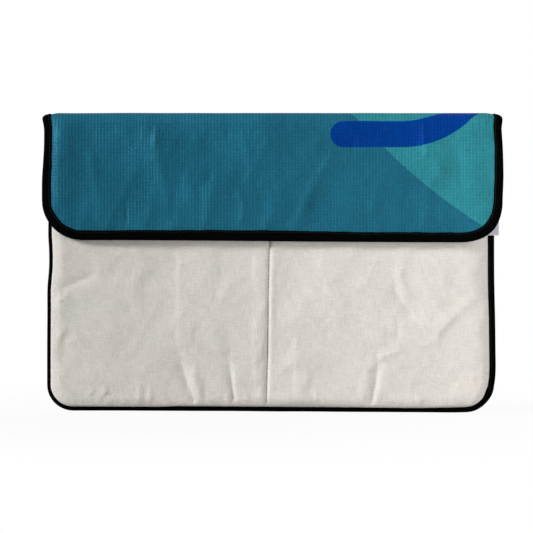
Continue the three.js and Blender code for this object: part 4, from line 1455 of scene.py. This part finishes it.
def make_mouth_binding(side, sign):
    """Tape folded over the upper edge of the front wall."""
    x = np.linspace(pouch_half_width(sign, MOUTH_Z) - 3.2, 0, 110) * sign
    width = MOUTH_LIP + 0.25 * noise(x / 8, 6.5, 67)
    z = [MOUTH_Z - width, MOUTH_Z - width * 0.66, MOUTH_Z - width * 0.33,
         np.full(len(x), MOUTH_Z - 0.5)]
    front = [front_y(x, height) - 0.36 for height in z]
    back = [front_lining_y(x, height) + 0.3 for height in z]
    middle, radius = (front[3] + back[3]) / 2, (back[3] - front[3]) / 2 + 0.7
    # (y, z): outer face upwards, over the top, inner face down, then back inside the fold
    points = [(front[0] - 0.25, z[0]), (front[0] - 0.7, z[0] + 0.8), (front[1] - 0.95, z[1]),
              (front[2] - 0.95, z[2]), (front[3] - 0.75, z[3])]
    for angle in (math.pi * 0.25, math.pi * 0.5, math.pi * 0.75):
        points.append((middle - radius * math.cos(angle), MOUTH_Z - 0.2 + math.sin(angle)))
    points += [(back[3] + 0.75, z[3]), (back[2] + 0.85, z[2]), (back[1] + 0.85, z[1]),
               (back[0] + 0.7, z[0] + 0.8), (back[0] + 0.2, z[0]),
               (back[1] + 0.05, z[1]), (back[2] + 0.05, z[2]),
               (middle + radius * 0.5, MOUTH_Z + 0.15), (middle - radius * 0.5, MOUTH_Z + 0.15),
               (front[2] - 0.05, z[2]), (front[1] - 0.05, z[1])]
    depth, height = profile_columns(points)
    add_tube(f"mouth_binding_tape_{side}", xyz(x[:, None], depth, height), x[:, None],
             np.arange(len(points)) * 2.6, FRONT_JOINT[side], if_left(side, "mouth_binding"))
    x = x[2:]
    z = np.full(len(x), MOUTH_Z - MOUTH_LIP + STITCH_INSET)
    add_stitches(f"mouth_binding_stitches_{side}", xyz(x, front_y(x, z) - 1.26, z), (0, -1, 0),
                 FRONT_JOINT[side], if_left(side, "mouth_binding_thread"), seed=31)


# ---------------------------------------------------------------- hook and loop
LOOP_BASE = 0.38        # from the middle of the canvas to the back of the loop tape


def strip_grid(piece):
    """X, Z over a strip's box, the distance in from its edges, and the box."""
    lo, hi = low(piece), high(piece)
    X, Z = grid(np.linspace(lo[0], hi[0], 81), np.linspace(lo[2], hi[2], 25))
    inset = np.minimum(np.minimum(X - lo[0], hi[0] - X), np.minimum(Z - lo[2], hi[2] - Z))
    return X, Z, inset, lo, hi


def add_rods(name, verts, slot, joint):
    """Small rods from a (rod, ring, side, 3) array."""
    count, rings, sides, _ = verts.shape
    verts = verts.reshape(-1, 3)
    build(name, verts, rod_faces(count, rings, sides), verts[:, [0, 2]], slot, joint, sharp=None)


def make_loop_tape(side, rng):
    """Tape on the canvas, with loose loops standing out of its pile."""
    X, Z, inset, lo, hi = strip_grid(f"loop_strip_{side}")
    base = front_y(X, Z) - LOOP_BASE
    pile = 0.28 + 0.5 * smooth((inset - 2.0) / 0.9) * (1 + 0.35 * fractal(X / 1.6, Z / 1.6, 81, 2))
    add_shell(f"loop_tape_{side}", xyz(X, base - np.minimum(pile, 0.95), Z), xyz(X, base, Z),
              X, Z, "loop_tape", FRONT_JOINT[side], [f"loop_strip_{side}"])
    count, margin, radius, thick = 900, 3.2, 0.45, 0.07
    x = rng.uniform(lo[0] + margin, hi[0] - margin, count)
    z = rng.uniform(lo[2] + margin, hi[2] - margin, count)
    heading = rng.uniform(0, math.pi, count)[:, None, None]
    height = 0.34 * rng.uniform(0.6, 1.15, count)[:, None, None]
    root_y = (front_y(x, z) - LOOP_BASE - 0.72)[:, None, None]
    angle = np.linspace(0, math.pi, 5)[:, None]
    ahead, up = -np.cos(angle) * radius, np.sin(angle) * height
    sideways, out = thick * np.array([(1, 0), (0, 1), (-1, 0), (0, -1)]).T
    cos, sin = np.cos(heading), np.sin(heading)
    verts = xyz(x[:, None, None] + cos * ahead - sin * sideways, root_y - up - out + 0.05,
                z[:, None, None] + sin * ahead + cos * sideways)
    add_rods(f"loop_pile_{side}", verts, "loop_tape", FRONT_JOINT[side])


# One hook from root to tip: (reach along z, height, half thickness)
HOOK_PROFILE = [(0.0, 0.0, 0.16), (0.02, 0.30, 0.12), (0.12, 0.48, 0.10), (0.28, 0.52, 0.09),
                (0.40, 0.40, 0.06)]


def make_hook_tape(side):
    """Tape on the inside of the flap, with staggered rows of hooks that bend up and down."""
    X, Z, inset, lo, hi = strip_grid(f"hook_strip_{side}")
    run = sheet_run(Z)
    base, normal = on_sheet(X, run, -flap_inner_depth(X, run))
    thick = 0.30 + 0.18 * smooth((inset - 2.0) / 0.8)
    add_shell(f"hook_tape_{side}", base - normal * thick[..., None], base, X, Z, "hook_tape",
              "flap", [f"hook_strip_{side}"])
    X, Z = grid(np.arange(lo[0] + 3.4, hi[0] - 3.0, 1.35),
                np.arange(lo[2] + 3.3, hi[2] - 3.0, 1.45))
    X = (X + 0.67 * (np.arange(X.shape[1]) % 2)).ravel()
    inside = X < hi[0] - 3.0
    X, run = X[inside], sheet_run(Z.ravel()[inside])
    root, normal = on_sheet(X, run, -(flap_inner_depth(X, run) + 0.45))
    reach, height, half = np.array(HOOK_PROFILE).T[:, :, None]
    corner_x, corner_z = np.array([(1, 1), (-1, 1), (-1, -1), (1, -1)]).T
    bend = np.where(np.arange(len(X)) % 2, 1, -1)[:, None, None]
    verts = (root[:, None, None] - normal[:, None, None] * height[..., None]
             + xyz(half * corner_x, 0, reach * bend + half * corner_z * 0.9))
    add_rods(f"hook_field_{side}", verts, "hook_tape", "flap")


def make_strip_stitches(side):
    """Stitches round the loop tape and the hook tape."""
    for kind in ("loop", "hook"):
        piece = f"{kind}_thread_{side}"
        (x0, _, z0), (x1, _, z1) = low(piece), high(piece)
        outline, _ = resample(np.array([(x0, z0), (x1, z0), (x1, z1), (x0, z1), (x0, z0)]), 0.7)
        x, z = outline.T
        if kind == "loop":
            path, normal = xyz(x, front_y(x, z) - LOOP_BASE - 0.36, z), (0, -1, 0)
            joint = FRONT_JOINT[side]
        else:
            run = sheet_run(z)
            path, outward = on_sheet(x, run, -(flap_inner_depth(x, run) + 0.36))
            normal = -outward
            joint = "flap"
        add_stitches(f"{kind}_tape_stitches_{side}", path, normal, joint, [piece],
                     radius=0.24, seed=40)


# ---------------------------------------------------------------- ribbon label
def make_label():
    """A ribbon folded double, sewn down at its left end and free at its right end."""
    lo, hi = low("side_label"), high("side_label")
    left, length = lo[0] - 0.4, hi[0] - lo[0] + 0.8
    bottom, top = lo[2] + 0.5, hi[2]
    face_y = SEAM_Y - RIM_FACE - POUCH_TAPE - 0.5
    count, straight, half_gap = 30, length - 0.6, 0.34
    profile = []                      # (distance from the left end, offset in y)
    for share in np.arange(count) / (count - 1):
        if share < 0.45:
            profile.append((share / 0.45 * straight, -half_gap))
        elif share < 0.55:
            turn = (share - 0.45) / 0.10 * math.pi
            profile.append((straight + 0.5 * math.sin(turn), -half_gap * math.cos(turn)))
        else:
            profile.append(((1 - share) / 0.45 * straight, half_gap))
    station, Z = grid(np.arange(count), np.linspace(bottom, top, 22))
    out, layer = np.moveaxis(np.array(profile)[station], -1, 0)
    reach = out / length
    wave = np.sin((Z - bottom) / (top - bottom) * 2.6 + 0.4)
    y = face_y - 1.5 * reach ** 1.4 - 0.25 * wave * reach
    z = Z + 0.12 * np.sin(out * 0.7) - (Z - (bottom + top) / 2) * 0.012 * reach
    middle = xyz(left + out, y + layer, z)
    half = grid_normals(middle) * 0.13
    joint = ("pouch", "label", ((left + 0.6) * MM, 0, 0), ((left + 4.4) * MM, 0, 0))
    add_shell("side_ribbon_label", middle + half, middle - half, station * 0.6, Z,
              "label_ribbon", joint, ["side_label"])
    z = np.arange(bottom + 1, top - 0.5, 0.5)
    add_stitches("side_label_stitches", xyz(left + 0.8, face_y - 0.52, z), (0, -1, 0), "pouch",
                 ["side_label_thread"], slot="white_thread",
                 pitch=2.6, length=1.9, radius=0.2, seed=50)


# ---------------------------------------------------------------- stage, lights and camera
def floor_material(grey=0.5, glow=0.93):
    """A pale floor that looks white to the camera: a share of emission, glow near the origin
    and 1 further out, is mixed in for camera rays."""
    material = bpy.data.materials.new("pale_floor")
    material.use_nodes = True
    tree = material.node_tree
    new, link = tree.nodes.new, tree.links.new
    shader = tree.nodes["Principled BSDF"]
    texture = new("ShaderNodeTexNoise")
    texture.inputs["Scale"].default_value = 1.5
    tone = new("ShaderNodeMapRange")
    link(texture.outputs["Fac"], tone.inputs[0])
    set_range(tone, 0.0, 1.0, grey - 0.01, grey + 0.01)
    link(tone.outputs[0], shader.inputs["Base Color"])
    shader.inputs["Roughness"].default_value = 0.9
    shader.inputs["Specular IOR Level"].default_value = 0.1
    emission = new("ShaderNodeEmission")
    emission.inputs["Color"].default_value = (1, 1, 1, 1)
    emission.inputs["Strength"].default_value = 1.0
    distance = new("ShaderNodeVectorMath")
    distance.operation = "LENGTH"
    link(new("ShaderNodeNewGeometry").outputs["Position"], distance.inputs[0])
    share = Value(tree, distance.outputs["Value"]).ramp(0.15, 0.75, low=glow, high=1.0)
    camera_ray = Value(tree, new("ShaderNodeLightPath").outputs["Is Camera Ray"])
    glowing = camera_ray * glow
    link(share.socket, glowing.socket.node.inputs[1])
    blend = new("ShaderNodeMixShader")
    link(glowing.socket, blend.inputs[0])
    link(shader.outputs[0], blend.inputs[1])
    link(emission.outputs[0], blend.inputs[2])
    link(blend.outputs[0], tree.nodes["Material Output"].inputs["Surface"])
    return material


def make_floor():
    half, z = 60.0, -0.0004      # metres
    mesh = bpy.data.meshes.new("floor")
    corners = [(-half, -half, z), (half, -half, z), (half, half, z), (-half, half, z)]
    mesh.from_pydata(corners, [], [[0, 1, 2, 3]])
    mesh.materials.append(floor_material())
    floor = bpy.data.objects.new("floor", mesh)
    bpy.context.scene.collection.objects.link(floor)


def make_world():
    """White to the camera; for other rays a dim light that grows towards the zenith."""
    world = bpy.data.worlds.new("studio")
    bpy.context.scene.world = world
    world.use_nodes = True
    tree = world.node_tree
    new, link = tree.nodes.new, tree.links.new
    background = tree.nodes["Background"]
    split = new("ShaderNodeSeparateXYZ")
    link(new("ShaderNodeTexCoord").outputs["Generated"], split.inputs[0])
    light = new("ShaderNodeMapRange")
    link(split.outputs["Z"], light.inputs[0])
    set_range(light, -0.1, 0.9, 0.13, 0.24)
    strength = new("ShaderNodeMix")
    strength.data_type = "FLOAT"
    link(new("ShaderNodeLightPath").outputs["Is Camera Ray"], strength.inputs[0])
    link(light.outputs[0], strength.inputs[2])
    strength.inputs[3].default_value = 1.0
    link(strength.outputs[0], background.inputs["Strength"])
    background.inputs["Color"].default_value = (1, 1, 1, 1)


def add_light(name, kind, energy, direction):
    light = bpy.data.lights.new(name, kind)
    light.energy = energy
    ob = bpy.data.objects.new(name, light)
    bpy.context.scene.collection.objects.link(ob)
    ob.rotation_mode = "QUATERNION"
    ob.rotation_quaternion = Vector(direction).to_track_quat("-Z", "Y")
    return ob


def add_area(name, location, target, size, power):
    ob = add_light(name, "AREA", power, Vector(target) - Vector(location))
    ob.location = location
    ob.data.shape = "RECTANGLE"
    ob.data.size, ob.data.size_y = size
    return ob


def make_lights():
    sun = add_light("window", "SUN", energy=4.1, direction=(0.74, 0.34, -0.34))
    sun.data.angle = math.radians(14)
    add_area("fill", location=(0.66, -0.62, 0.16), target=(0.12, 0, 0.09), size=(0.40, 0.40),
             power=4.3)
    rear = add_area("rear", location=(0.9, 1.4, 1.0), target=(0, 0, 0.13), size=(1.0, 0.8),
                    power=40)
    rear.visible_glossy = False


def make_camera():
    """A long lens straight in front; view_width is what it sees at the flap's plane."""
    lens, sensor, view_width = 200.0, 36.0, 465.1
    x, z = -4.2, (TOP_Z + 1.1) / 2 - 3.3
    scene = bpy.context.scene
    camera = bpy.data.objects.new("camera", bpy.data.cameras.new("camera"))
    scene.collection.objects.link(camera)
    scene.camera = camera
    camera.data.lens, camera.data.sensor_width = lens, sensor
    camera.location = (x * MM, (FLAP_Y - view_width * lens / sensor) * MM, z * MM)
    camera.rotation_euler = (math.pi / 2, 0, 0)


# ---------------------------------------------------------------- run
simulate("front", half_width=190.0, bottom=4.0, top=MOUTH_Z, columns=87, rows=55,
         pressure=0.9, growth=0.012, limit=0.36, seed=3, pin_top=False)
simulate("back", half_width=190.0, bottom=4.0, top=FOLD_Z - 4, columns=87, rows=55,
         pressure=0.9, growth=0.012, limit=0.6, seed=4)
simulate("flap", half_width=196.0, bottom=FLAP_BOTTOM + 2, top=FOLD_Z, columns=89, rows=25,
         pressure=0.6, growth=0.010, limit=0.35, seed=6)

make_back_cover()
make_flap_cover()
make_flap_inside()
make_back_lining()
make_back_foam()
make_flap_binding()
make_fold_bindings()
make_pouch_binding()
make_canvas()
for side, sign in SIDES:
    make_front_lining(side, sign)
    make_front_foam(side, sign)
    make_mouth_binding(side, sign)
loop_rng = np.random.default_rng(17)
for side, _ in SIDES:
    make_loop_tape(side, loop_rng)
    make_hook_tape(side)
    make_strip_stitches(side)
make_label()

make_floor()
make_world()
make_lights()
bpy.context.scene.view_settings.view_transform = "Standard"
bpy.context.scene.view_settings.look = "None"
make_camera()
